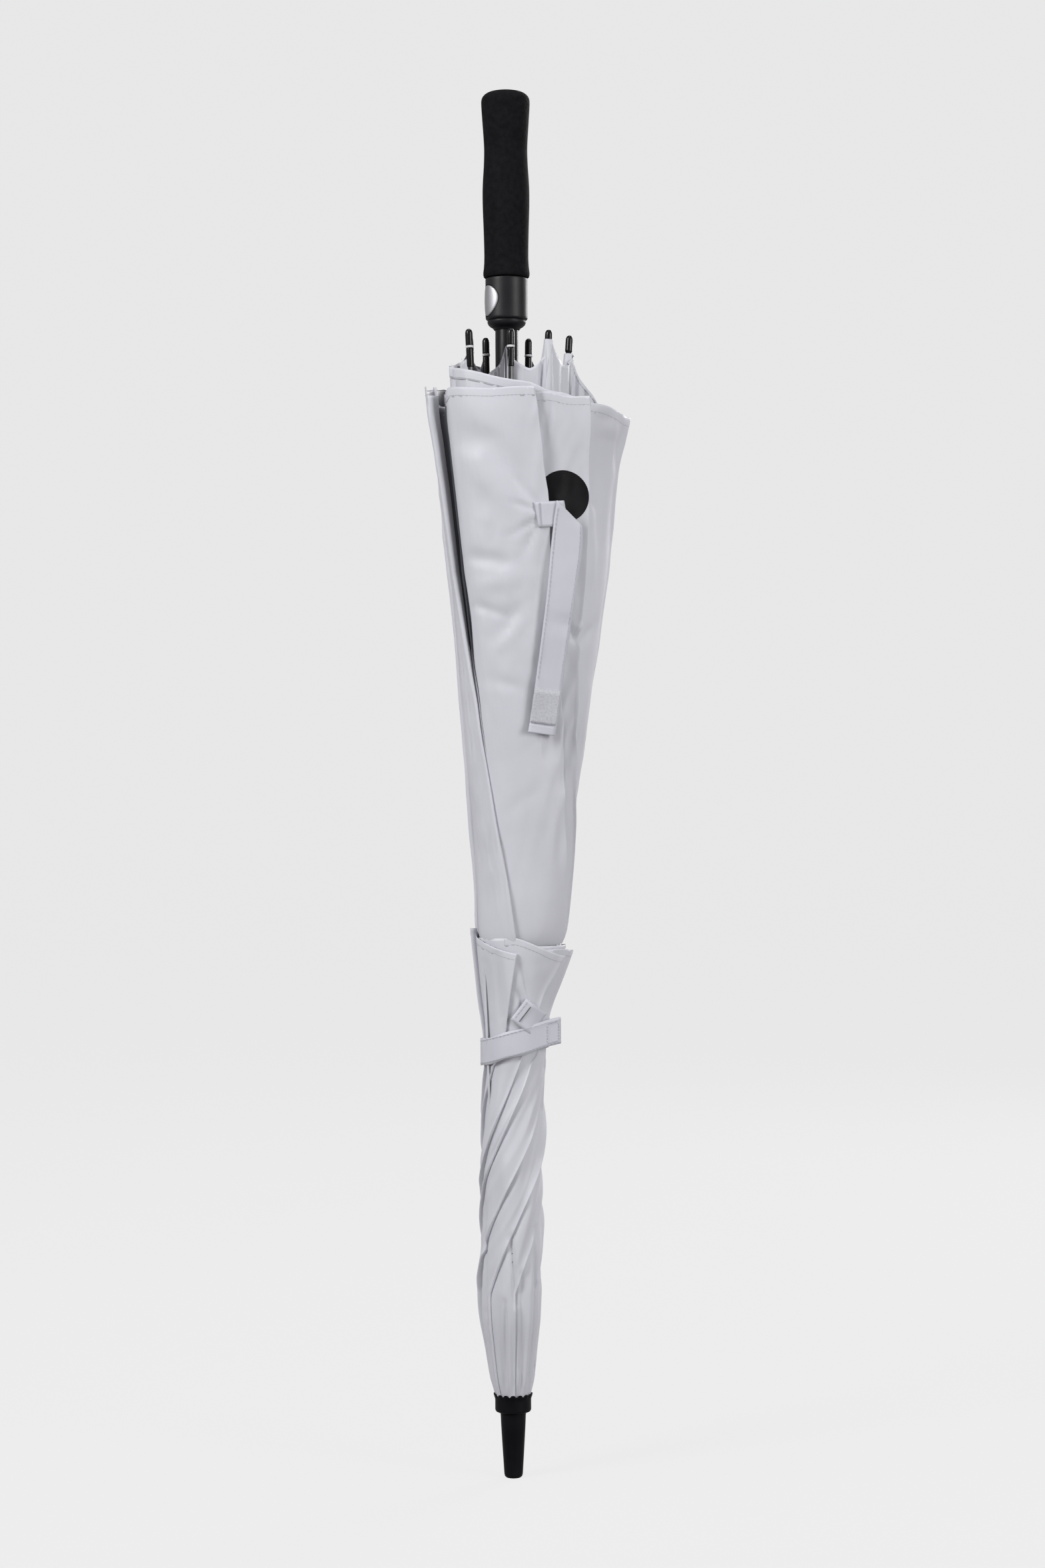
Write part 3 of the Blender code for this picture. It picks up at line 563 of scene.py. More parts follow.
# ---- camera, light and backdrop ----
def place_camera():
    data = bpy.data.cameras.new("camera")
    data.sensor_fit = "VERTICAL"
    data.sensor_height = 36.0
    data.lens = CAMERA_LENS
    data.clip_end = 50.0
    camera = new_object("camera", data)
    camera.location = CAMERA_PLACE
    camera.rotation_euler = (math.radians(90.0), CAMERA_ROLL, 0.0)
    bpy.context.scene.camera = camera


def place_lamp(name, place, aim, size, power):
    data = bpy.data.lights.new(name, "AREA")
    data.shape = "RECTANGLE"
    data.size, data.size_y = size
    data.energy = power
    lamp = new_object(name, data)
    lamp.location = place
    direction = Vector((0.0, 0.0, aim)) - Vector(place)
    lamp.rotation_euler = direction.to_track_quat("-Z", "Y").to_euler()


def place_lights():
    world = bpy.data.worlds.new("soft_white")
    world.use_nodes = True
    background = world.node_tree.nodes["Background"]
    set_inputs(background, {"Color": (1.0, 1.0, 1.0, 1.0), "Strength": WORLD_STRENGTH})
    bpy.context.scene.world = world
    bpy.context.scene.view_settings.view_transform = "Standard"
    for lamp in LAMPS:
        place_lamp(*lamp)


def place_backdrop():
    """A floor that bends up into a wall, all in one pale sheet, round the whole object."""
    made, tree, shader = new_material("pale_backdrop", (0.05, 0.05, 0.05), 0.9, specular=0.0)
    set_inputs(shader, {"Emission Color": (1.0, 1.0, 1.0, 1.0), "Emission Strength": 0.785})
    vector = object_coordinates(tree)
    vary_colour(tree, shader, noise_node(tree, vector, 3.0), (0.049, 0.049, 0.049), (0.051, 0.051, 0.051))
    bend, run, top = 2.0, 12.0, 12.0
    profile = [(0.0, 0.0), (0.6, 0.0), (1.6, 0.0), (4.0, 0.0), (run - bend, 0.0)]
    for i in range(1, 13):
        angle = math.radians(90.0 * i / 12)
        profile.append((run - bend + bend * math.sin(angle), bend - bend * math.cos(angle)))
    profile.append((run, top))
    backdrop = lathe("backdrop", profile, 1, made, 96)
    backdrop.visible_diffuse = False
    backdrop.visible_glossy = False


place_camera()
place_lights()
place_backdrop()


# ---- the furled cloth ----
def around(table):
    """A closed curve of values round the shaft from (degrees, value) pairs, with its corners rounded."""
    degrees, values = zip(*table)
    fine = np.arange(-180.0, 180.0)
    wrapped = np.interp(np.mod(fine - degrees[0], 360.0) + degrees[0], degrees, values)
    weights = np.exp(-0.5 * (np.arange(-18, 19) / 6.0) ** 2)
    rounded = np.convolve(np.pad(wrapped, 18, mode="wrap"), weights / weights.sum(), mode="valid")
    return fine, rounded


MAIN_CORE = around(MAIN_CORE_SHARES)
VENT_CORE = around(VENT_CORE_SHARES)


def read_round(curve, phi):
    turn = np.mod(np.degrees(phi) + 180.0, 360.0) - 180.0
    return np.interp(turn, curve[0], curve[1], period=360.0)


def edge_azimuth(edges, place, z):
    """The azimuth of a place counted in folded edges round the shaft."""
    lower = np.floor(place).astype(int)
    values = []
    for whole in (lower, lower + 1):
        result = np.zeros_like(z)
        for k in range(RIBS):
            heights, degrees = zip(*edges[k])
            result = np.where(whole % RIBS == k, np.interp(z, heights, degrees), result)
        values.append(result + 360.0 * (whole // RIBS))
    share = place - lower
    return np.radians(values[0] * (1.0 - share) + values[1] * share)


def twist(z):
    """How far the vent canopy is wound back below the strap."""
    full = np.clip((TWIST_HIGH - z) / (TWIST_HIGH - TWIST_LOW), 0.0, 1.0)
    return -TWIST * (0.75 * full + 0.25 * full * full * (3.0 - 2.0 * full))


def crease(phi, z, line, radius=0.045):
    """A soft groove along a line from (degrees, height) to (degrees, height), of unit depth."""
    a0, z0, a1, z1, width = line
    u, v = (phi - math.radians(a0)) * radius, z - z0
    du, dv = math.radians(a1 - a0) * radius, z1 - z0
    along = np.clip((u * du + v * dv) / (du * du + dv * dv), 0.0, 1.0)
    off = np.hypot(u - along * du, v - along * dv)
    return np.exp(-((off / width) ** 2)) * (0.35 + 0.65 * np.sin(math.pi * np.clip(along, 0.05, 0.95)))


def held_back(folds, most, outward):
    """Keeps folds within most, and lets those that stand out of the bundle stand out less."""
    return most * np.tanh(np.where(folds > 0.0, outward * folds, folds) / most)


def main_folds(z, phi):
    """Soft dents and crumples of the main canopy, as a share of the radius."""
    fade = step(z, 0.36, 0.46) * (1.0 - 0.7 * step(z, 0.765, 0.78))
    warp = 0.5 * waves(phi, z, 31, 4, (1, 3), (15.0, 35.0))
    soft = 0.027 * waves(phi + 0.1 * warp, z, 11, 7, (2, 6), (5.0, 22.0))
    crumple = waves(phi + 0.06 * warp, z, 12, 6, (6, 14), (25.0, 75.0))
    ridged = 0.02 * (0.8 - np.sqrt(crumple * crumple + 0.02))
    fine = waves(phi + 0.05 * warp, z, 13, 6, (11, 24), (60.0, 150.0))
    patches = step(waves(phi, z, 14, 4, (2, 5), (10.0, 30.0)), -0.3, 0.9)
    ridged = ridged + 0.026 * patches * (0.42 - np.sqrt(fine * fine + 0.005))
    turn = half_turns(phi)
    grooves = sum(crease(turn, z, line[:5]) * line[5] for line in MAIN_CREASES) * MAIN_CREASE_DEPTH
    return held_back(fade * (soft + ridged) - grooves, 0.085, 0.4)


def vent_folds(z, phi):
    """Twist folds between the cap and the strap, and straight pleats into the cap."""
    wound = phi - twist(z)
    middle = step(z, 0.105, 0.15) * (1.0 - 0.6 * step(z, 0.28, 0.305))
    warp = 0.25 * waves(wound, z, 24, 4, (1, 4), (20.0, 50.0))
    helical = 0.035 * waves(wound + warp, z, 21, 6, (3, 6), (4.0, 26.0)) * middle
    crumple = waves(wound + warp, z, 23, 5, (4, 9), (30.0, 90.0))
    ridged = 0.024 * (0.8 - np.sqrt(crumple * crumple + 0.02)) * step(z, 0.1, 0.14)
    pleats = 0.066 * np.sin(13.0 * wound + 1.2 * np.sin(3.0 * wound)) * (1.0 - step(z, 0.085, 0.16))
    pleats *= step(z, 0.058, 0.072)
    turn = half_turns(phi)
    grooves = sum(crease(turn, z, line[:5], 0.025) * line[5] for line in VENT_CREASES) * VENT_CREASE_DEPTH
    return held_back(helical + ridged * (1.0 - 0.5 * step(z, 0.31, 0.33)) + pleats - grooves, 0.115, 0.8)


def main_top(k, place):
    """The height of main flap k's hem at a place counted from its folded edge."""
    top = np.interp(place, range(6), MAIN_HEMS[k])
    if k == 0:
        top = top + 0.002 - 0.007 * (1.0 - step(place, -0.01, 0.035))
    if k == 1:
        top = top - 0.011 * step(place, 0.83, 0.9)
    return top + 0.0007 * np.sin(9.0 * place + k)


def vent_top(k, place):
    low, high = VENT_HEMS[k]
    return low + (high - low) * step(place, 0.0, 1.0) * 0.5 + (high - low) * 0.5 * np.clip(place, 0.0, 1.0)


def gap_under_left_flap(z, phi):
    """How far the cloth in front sinks beside the left flap's edge, as a share of the radius."""
    heights, degrees = zip(*MAIN_EDGES[0])
    turn = half_turns(phi)
    half = 0.5 * np.interp(z, (0.45, 0.585, 0.675, 0.78), (3.0, 4.5, 7.5, 10.5))
    off = np.degrees(turn) - np.interp(z, heights, degrees) - half + 1.0
    depth = np.interp(z, GAP_HEIGHTS, GAP_DEPTHS)
    return depth * np.exp(-((off / (half + 1.0)) ** 4))


def flap_point(k, place, side, share, lift, kind):
    """A point of a flap. place counts folded edges back from the flap's own edge, side is -1 on its inner
    layer and 1 on its outer one, share runs from the flap's foot to its hem, and lift stands off it."""
    low, reach, top, edges, core_curve, fine, folds, gap, roll = kind
    inner = np.clip(place, 0.0, reach)
    z = low + share * (top(k, inner) - low)
    phi = edge_azimuth(edges, k - place, z) + twist(z)
    core = read_round(core_curve, phi)
    level = 1.0 - (inner / reach) ** 0.8
    half = (1.0 - core) * gap + roll * np.exp(-((inner / 0.06) ** 2))
    deeper = np.where(side < -0.99, 2.1, 1.0)
    share_out = core + (1.0 - core) * (level - gap) + side * half * deeper
    radius = outline(fine, z, phi) * share_out * (1.0 + folds(z, phi))
    if kind is MAIN_KIND and k != 0:
        radius = radius * (1.0 - gap_under_left_flap(z, phi))
    own = 0.00035 * (1.0 + waves(phi, z, 60 + k, 5, (3, 9), (20.0, 70.0)))
    radius = radius + lift + own * np.clip(side, 0.0, 1.0) * (1.0 - step(inner, 0.4, 0.95))
    return round_shaft(radius, phi, z)


MAIN_KIND = (MAIN_LOW, 5.0, main_top, MAIN_EDGES, MAIN_CORE, MAIN_FINE, main_folds, 0.062, 0.02)
VENT_KIND = (VENT_LOW, 3.0, vent_top, VENT_EDGES, VENT_CORE, VENT_FINE, vent_folds, 0.11, 0.026)


def flap(name, k, columns, shares, kind):
    """One gore folded in half and wound in: an inner layer, a rounded folded edge and an outer layer."""
    hidden, seen = columns
    inside = np.linspace(1.0, 0.0, hidden) ** 1.6 * kind[1]
    outside = np.linspace(0.0, 1.0, seen) ** 2.1 * kind[1]
    turns = np.radians(np.linspace(-90.0, 90.0, 7)[1:-1])
    place = np.concatenate([inside, -0.022 * np.cos(turns), outside])
    side = np.concatenate([np.full(hidden, -1.0), np.sin(turns), np.full(seen, 1.0)])
    grid_place, grid_share = np.meshgrid(place, shares)
    side = np.broadcast_to(side, grid_place.shape)
    made = grid_mesh(name, flap_point(k, grid_place, side, grid_share, 0.0, kind), CLOTH)
    # the inner layer, but for its last columns by the folded edge, takes the dark material: painted shade on
    # the layer that faces the shaft
    for number, face in enumerate(made.data.polygons):
        face.material_index = 1 if number % (len(place) - 1) < hidden - 3 else 0
    return made


def make_canopy(name, columns, shares, kind):
    flaps = [flap(f"{name}_flap_{k}", k, columns, shares, kind) for k in range(RIBS)]
    canopy = join_meshes(name, flaps, CLOTH)
    # second slot: the dark material, partly dark underside and partly painted shade
    canopy.data.materials.append(DARK_LINING_AND_SHADE)
    thicken(canopy, CANOPY_THICKNESS)
    return canopy


def hem_band(name, k, span, drop, lift, kind):
    """The turned hem along a flap's outer layer, a little proud of the cloth."""
    height = kind[2](k, 0.0) - kind[0]
    shares = 1.0 - np.linspace(drop, -0.0002, 6) / height
    places, shares = np.meshgrid(np.linspace(-0.01, span, 70), shares)
    bulge = np.array([0.02, 0.6, 1.0, 1.0, 0.8, 0.3])[:, None] * lift
    made = grid_mesh(name, flap_point(k, places, np.ones_like(places), shares, bulge, kind), CLOTH)
    thicken(made, 0.00014)
    return made


def make_gap_painted_shade():
    """A dark sheet laid just over the cloth in the gap beside the left flap's folded edge: painted shade for
    the deep shadow there.
    """
    z, share = np.meshgrid(np.linspace(0.42, 0.7695, 90), np.linspace(0.0, 1.0, 9), indexing="ij")
    width = np.interp(z, GAP_HEIGHTS, GAP_SHADE_WIDTHS)
    beneath = np.interp(z, (0.5, 0.6, 0.78), (0.03, 0.06, 0.22))
    place = 1.0 + beneath - share * (beneath + width)
    height = (z - MAIN_LOW) / (main_top(1, place) - MAIN_LOW)
    points = flap_point(1, place, np.ones_like(z), height, 0.0006, MAIN_KIND)
    # the dark material here is painted shade over the cloth's lit outer face
    made = grid_mesh("gap_painted_shade", points, DARK_LINING_AND_SHADE)
    thicken(made, TRIM_THICKNESS)
    return made


def bar_mesh(name, bars, radius, material):
    """Many thin bars between pairs of points, as one mesh."""
    bm = bmesh.new()
    for start, end in bars:
        start, end = Vector(start), Vector(end)
        along = end - start
        turn = along.to_track_quat("Z", "Y").to_matrix().to_4x4()
        place = Matrix.Translation((start + end) / 2.0) @ turn
        bmesh.ops.create_cone(
            bm, cap_ends=True, segments=5, radius1=radius, radius2=radius, depth=along.length, matrix=place
        )
    return made_from(bm, name, material)


def stitches_along(name, line, radius=0.00014, pitch=0.003, length=0.0021, material=STITCH):
    """Short stitches, each a thin bar, along a line of points."""
    line = np.array(line)
    run = np.concatenate([[0.0], np.cumsum(np.linalg.norm(np.diff(line, axis=0), axis=1))])
    bars = []
    for start in np.arange(0.0008, run[-1] - length, pitch):
        bars.append([[np.interp(start + d, run, line[:, i]) for i in range(3)] for d in (0.0, length)])
    return bar_mesh(name, bars, radius, material)


def stitch_row(name, k, span, drop, lift, kind):
    """Stitches on a flap's outer layer, at a distance below its hem."""
    height = kind[2](k, 0.0) - kind[0]
    places = np.linspace(0.0, span, 700)
    share = np.full(places.shape, 1.0 - drop / height)
    return stitches_along(name, flap_point(k, places, np.ones_like(places), share, lift, kind))


def on_flap(k, x, z, lift, kind):
    """Points on the outer layer of flap k, where it faces the front, at given x and z."""
    places = np.linspace(0.0, 2.6, 200)
    x, z = np.broadcast_arrays(np.asarray(x, float), np.asarray(z, float))
    out = np.zeros(x.shape + (3,))
    for index in np.ndindex(x.shape):
        share = (z[index] - kind[0]) / (kind[2](k, places) - kind[0])
        line = flap_point(k, places, np.ones_like(places), share, lift, kind)
        for i in range(3):
            out[index + (i,)] = np.interp(-x[index], -line[:, 0], line[:, i])
    return out


def on_front(fine, folds, x, z, lift):
    """Points in front of the whole furled bundle at given x and z."""
    x, z = np.broadcast_arrays(np.asarray(x, float), np.asarray(z, float))
    left, right, deep = (np.interp(z, fine[0], column) for column in fine[1])
    across = np.where(x > 0.0, right, left)
    y = -deep * np.sqrt(np.clip(1.0 - (x / across) ** 2, 0.04, 1.0))
    grown = 1.0 + folds(z, np.arctan2(y, x))
    return np.stack([x, y * grown * 1.015 - lift, z], axis=-1)


def furled(piece):
    """The furled cloth rides on the shaft, with a mesh of its own."""
    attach(piece, "root")
    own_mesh(piece)
    return piece


# ---- ribs' places ----
def azimuth(k):
    return FIRST_AZIMUTH + STEP_AZIMUTH * k


def rib_frame(k):
    """The directions out from the shaft and sideways at rib k."""
    a = azimuth(k)
    return Vector((math.cos(a), math.sin(a), 0.0)), Vector((-math.sin(a), math.cos(a), 0.0))


def rib_radius(k, height):
    share = max(height - PIVOT_Z, 0.0) / RIB_SPAN
    return PIVOT_RADIUS + (TIP_RADII[k % RIBS] - PIVOT_RADIUS) * share**RIB_BOW


def rib_place(k, height):
    return rib_frame(k)[0] * rib_radius(k, height) + Vector((0.0, 0.0, height))


def make_rim(columns=26, rows=18):
    """The cloth that rises in a point to each rib tip and hangs in a scallop between two tips."""
    points = np.zeros((rows, columns * RIBS, 3))
    for k in range(RIBS):
        following = (k + 1) % RIBS
        for j in range(columns):
            f = j / columns
            valley = RIM_VALLEYS[k]
            peak = RIM_PEAKS[k] if f < 0.5 else RIM_PEAKS[following]
            lean = abs(2.0 * f - 1.0)
            hem = valley + (peak - valley) * (0.62 * lean**1.2 + 0.38 * lean**6)
            for i in range(rows):
                share = i / (rows - 1)
                z = RIM_LOW + (hem - RIM_LOW) * share
                ends = []
                for rib in (k, following):
                    out, side = rib_frame(rib)
                    away, slide = RIM_STANDS[rib]
                    ends.append(rib_place(rib, z) + out * away + side * slide)
                place = ends[0].lerp(ends[1], f)
                flat = Vector((place.x, place.y, 0.0))
                belly = RIM_BELLIES[k] * math.sin(math.pi * f) - 0.0013 * math.sin(3.0 * math.pi * f) ** 2
                belly += 0.001 * math.sin(5.0 * math.pi * f + 30.0 * z)
                points[i, k * columns + j] = place + flat.normalized() * belly
    rim = grid_mesh("canopy_rim", points, CLOTH, wrap=True)
    # the rim's inner side takes the dark material, partly its underside and partly painted shade; the silver
    # gore's underside takes the silver lining
    for material in (DARK_LINING_AND_SHADE, RIM_LINING, RIM_LINING):
        rim.data.materials.append(material)
    for number, face in enumerate(rim.data.polygons):
        if number % (columns * RIBS) // columns == SILVER_GORE:
            face.material_index = 2
    thicken(rim, TRIM_THICKNESS, inside=1)
    return rim, stitches_along("rim_stitches", points[-2], 0.00018)


main_shares = np.concatenate([np.linspace(0.0, 0.12, 6)[:-1], np.linspace(0.12, 1.0, 180)])
main_canopy = make_canopy("canopy_main", (22, 54), main_shares, MAIN_KIND)
vent_canopy = make_canopy("canopy_vent", (20, 38), np.linspace(0.0, 1.0, 160), VENT_KIND)
main_trims, vent_trims = [], []
for number in range(RIBS):
    main_trims.append(hem_band(f"main_hem_{number + 1}", number, 3.3, 0.007, HEM_LIFT, MAIN_KIND))
    main_trims.append(stitch_row(f"main_stitches_{number + 1}", number, 3.2, 0.0057, 0.00028, MAIN_KIND))
    vent_trims.append(hem_band(f"vent_hem_{number + 1}", number, 1.2, 0.0055, HEM_LIFT, VENT_KIND))
    vent_trims.append(stitch_row(f"vent_stitches_{number + 1}", number, 1.1, 0.0043, 0.00026, VENT_KIND))
main_trims += make_rim()
# a dark strip of painted shade in the gap beside the left flap
main_trims.append(make_gap_painted_shade())
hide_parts(*[f"canopy_fold_{k + 1}" for k in range(RIBS)])
for piece in [main_canopy, vent_canopy, *main_trims, *vent_trims]:
    furled(piece)


# ---- turned pieces on the shaft ----
def make_grip():
    grip = lathe("foam_grip", (
        (0.0, 0.99965), (0.006, 0.99955), (0.0108, 0.9989), (0.014, 0.9977), (0.0163, 0.9957),
        (0.0174, 0.993), (0.0174, 0.988), (0.0167, 0.977), (0.0159, 0.965), (0.0156, 0.9566),
        (0.0159, 0.946), (0.0166, 0.935), (0.0169, 0.9265), (0.0168, 0.915), (0.0163, 0.9),
        (0.01596, 0.886), (0.01595, 0.878), (0.0163, 0.8722), (0.0167, 0.869), (0.01665, 0.8668),
        (0.0161, 0.8654), (0.0148, 0.865), (0.011, 0.865),
    ), 5, FOAM, 128)
    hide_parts("grip")
    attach(grip, "root")


def oval_on_housing(share, angle, lift):
    """An oval on the housing's wall, wider above its middle: a share of the button's size, lifted the way
    the button moves."""
    cosine, sine = math.cos(BUTTON_AZIMUTH), math.sin(BUTTON_AZIMUTH)
    across = share * BUTTON_HALF_WIDTH * (1.0 + 0.1 * np.sin(angle)) * np.cos(angle)
    height = BUTTON_CENTRE + share * BUTTON_HALF_HEIGHT * np.sin(angle)
    out = np.sqrt(HOUSING_RADIUS ** 2 - across ** 2) + lift
    return np.stack([out * cosine - across * sine, out * sine + across * cosine, height], axis=-1)


def oval_rings(name, steps, material):
    """A mesh of ovals on the housing: each step is a share of the button's size and a lift."""
    angle = np.linspace(0.0, 2.0 * math.pi, 80, endpoint=False)
    rings = [oval_on_housing(share, angle, lift) for share, lift in steps]
    return grid_mesh(name, np.array(rings), material, wrap=True)


def cut_pocket(housing):
    """Cuts the pocket that the button is pressed into."""
    steps = ((0.001, -POCKET_DEPTH), (1.02, -POCKET_DEPTH), (1.02, 0.002), (0.001, 0.002))
    cutter = oval_rings("pocket_cutter", steps, PLASTIC)
    weld(cutter, 0.00005)
    cut = housing.modifiers.new("pocket", "BOOLEAN")
    cut.operation = "DIFFERENCE"
    cut.solver = "EXACT"
    cut.object = cutter
    apply_modifiers(housing)
    bpy.data.objects.remove(cutter)
    housing.data.set_sharp_from_angle(angle=math.radians(35.0))


def make_housing():
    housing = lathe("housing_shell", (
        (0.01, 0.8646), (0.014, 0.8646), (0.0149, 0.8643), (0.0152, 0.8635), (0.0152, 0.86),
        (0.0152, 0.85), (0.0152, 0.84), (0.0152, 0.8368), (0.01505, 0.8356), (0.0146, 0.8348),
        (0.0139, 0.8345), (0.01345, 0.8343), (0.0134, 0.834), (0.01385, 0.8336), (0.0138, 0.8325),
        (0.0131, 0.831), (0.0118, 0.8298), (0.0104, 0.8289), (0.0096, 0.8281), (0.0092, 0.8275),
        (0.0089, 0.8275), (0.0088, 0.83), (0.0087, 0.834), (0.0087, 0.85), (0.0087, 0.8646),
        (0.01, 0.8646),
    ), 5, PLASTIC, 128)
    cut_pocket(housing)
    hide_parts("button_housing")
    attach(housing, "root")


def make_button():
    dome = (
        (0.001, 0.0008), (0.25, 0.00078), (0.5, 0.0007), (0.72, 0.00056), (0.86, 0.0004), (0.94, 0.0002),
        (0.975, -0.0001), (0.985, -0.0008), (0.985, -0.002),
    )
    button = oval_rings("button_cap", dome, SILVER)
    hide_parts("button")
    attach(button, "button")
    lip = ((1.01, -0.0012), (1.015, 0.00002), (1.03, 0.00012), (1.05, 0.0001), (1.06, -0.0003))
    rim = oval_rings("button_rim", lip, FERRULE)
    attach(rim, "root")


def make_runner():
    runner = lathe("runner_tube", (
        (0.0076, 0.8345), (0.0081, 0.8345), (0.0083, 0.8342), (0.0083, 0.83), (0.0083, 0.81),
        (0.0083, 0.78), (0.0083, 0.764), (0.0086, 0.7615), (0.0095, 0.7605), (0.0095, 0.7592),
        (0.0086, 0.7588), (0.0086, 0.7572), (0.0095, 0.7568), (0.0095, 0.7512), (0.0089, 0.7501),
        (0.0076, 0.75),
    ), 4, TUBE, 72)
    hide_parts("runner")
    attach(runner, "runner")


def make_cap():
    def scallops(radius, height, angle):
        wave = 0.5 + 0.5 * np.cos(16.0 * angle)
        share = step(height, 0.056, 0.06)
        return radius - 0.0007 * share * (1.0 - wave), height - 0.0016 * share * (1.0 - wave) ** 2

    cap = lathe("canopy_cap", (
        (0.0108, 0.0572), (0.012, 0.059), (0.013, 0.0606), (0.0138, 0.0612), (0.01405, 0.0604),
        (0.0137, 0.0588), (0.0131, 0.057), (0.013, 0.055), (0.013, 0.051), (0.01295, 0.0492),
        (0.0124, 0.048), (0.0112, 0.0475), (0.0096, 0.0474), (0.008, 0.0474),
    ), 5, FERRULE, 160, scallops)
    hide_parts("cap")
    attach(cap, "root")


def make_ferrule():
    ferrule = lathe("ferrule_tip", (
        (0.0, 0.0473), (0.006, 0.0473), (0.0088, 0.0472), (0.0092, 0.0465), (0.00905, 0.044),
        (0.0088, 0.038), (0.0083, 0.029), (0.0077, 0.019), (0.0071, 0.009), (0.0068, 0.004),
        (0.0066, 0.0022), (0.0061, 0.0009), (0.0052, 0.0002), (0.0047, 0.0), (0.002, 0.0), (0.0, 0.0),
    ), 4, FERRULE, 72)
    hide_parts("ferrule")
    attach(ferrule, "root")


make_grip()
make_housing()
make_button()
make_runner()
make_cap()
make_ferrule()


# ---- rib tips ----
def along_rib(piece, k, height):
    """Stands a piece made round the Z axis on rib k at a height."""
    low, high = rib_place(k, height), rib_place(k, height + 0.01)
    turn = Vector((0.0, 0.0, 1.0)).rotation_difference(high - low).to_matrix().to_4x4()
    piece.data.transform(Matrix.Translation(low) @ turn)


def make_tip(k):
    length = TIP_LENGTH
    tip = lathe(f"tip_cap_{k + 1}", (
        (0.0, length), (0.0011, length - 0.0002), (0.002, length - 0.001), (0.0025, length - 0.0022),
        (0.00265, length - 0.004), (0.00265, 0.018), (0.0026, 0.0155), (0.0021, 0.0146), (0.002, 0.0138),
        (0.0024, 0.013), (0.0025, 0.0118), (0.0025, 0.004), (0.0024, 0.0006), (0.0021, 0.0),
    ), 4, GLOSSY, 28)
    along_rib(tip, k, RIB_TOP - length)
    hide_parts(f"rib_tip_{k + 1}")
    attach(tip, f"rib_{k + 1}")


def make_thread_ring(k):
    """A few turns of white thread in the tip's neck, which tie the canopy's corner to the rib."""
    points = []
    radius, turns, per_turn = 0.00262, 4, 16
    for i in range(turns * per_turn + 1):
        angle = 2.0 * math.pi * i / per_turn
        points.append((radius * math.cos(angle), radius * math.sin(angle), 0.00034 * i / per_turn))
    bars = [(np.array(a), np.array(b)) for a, b in zip(points, points[1:])]
    ring = bar_mesh(f"thread_ring_{k + 1}", bars, 0.00026, THREAD)
    along_rib(ring, k, RIB_TOP - TIP_LENGTH + TIP_NECK)
    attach(ring, f"rib_{k + 1}")


for number in range(RIBS):
    make_tip(number)
    if number not in POCKETED:
        make_thread_ring(number)


# ---- the spread canopy between the ribs, gathered to a thin strip at each rib while it is furled ----
def bow(k, reach):
    """How far rib k lies inside its own chord at a distance from the crown."""
    share = min(max(reach / RIB_SPAN, 0.0), 1.0)
    return (TIP_RADII[k % RIBS] - PIVOT_RADIUS) * (share - share**RIB_BOW)


def gathered_strip(name, k, start, end, outward, columns=15, rows=30):
    """The open gore between rib k and the next one, furled as a narrow strip beside rib k."""
    out, side = rib_frame(k)
    lean = math.atan2(TIP_RADII[k] - PIVOT_RADIUS, RIB_SPAN)
    direction = out * math.sin(lean) + Vector((0.0, 0.0, math.cos(lean)))
    normal = out * math.cos(lean) - Vector((0.0, 0.0, math.sin(lean)))
    pivot = out * PIVOT_RADIUS + Vector((0.0, 0.0, PIVOT_Z))
    half = 0.0014
    points = np.zeros((rows, columns, 3))
    for j in range(columns):
        across = j / (columns - 1)
        weight = across * across * (3.0 - 2.0 * across)
        angle = weight * SPREAD
        hem = math.cos(SPREAD / 2.0) / math.cos(angle - SPREAD / 2.0) - 0.018 * math.sin(math.pi * weight)
        for i in range(rows):
            reach = start + (end * hem - start) * i / (rows - 1)
            inward = bow(k, reach) * (1.0 - weight) + bow(k + 1, reach) * weight
            lift = outward[0] + (outward[1] - outward[0]) * (i / (rows - 1)) ** 2
            billow = 0.001 * math.sin(math.pi * weight)
            place = pivot + direction * reach + normal * (lift - inward + billow)
            points[i, j] = place + side * ((across * 2.0 - 1.0) * half - STRIP_ASIDE)
    strip = grid_mesh(name, points, CLOTH)
    thicken(strip, STRIP_THICKNESS)
    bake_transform(strip)
    return strip


spread_main = [gathered_strip(f"gore_main_{k + 1}", k, *STRIP_MAIN) for k in range(RIBS)]
spread_vent = [gathered_strip(f"gore_vent_{k + 1}", k, *STRIP_VENT) for k in range(RIBS)]


# ---- straps, print and pockets ----
def strip_between(name, left, right, thickness, material, columns=9):
    """A flat band between two matching lines of points."""
    shares = np.linspace(0.0, 1.0, columns)[None, :, None]
    made = grid_mesh(name, left[:, None, :] * (1.0 - shares) + right[:, None, :] * shares, material)
    thicken(made, thickness)
    return made


def between(left, right, share, before=0.0):
    """Points between two matching points or lines, and a little before them."""
    return left * (1.0 - share) + right * share + np.array((0.0, -before, 0.0))


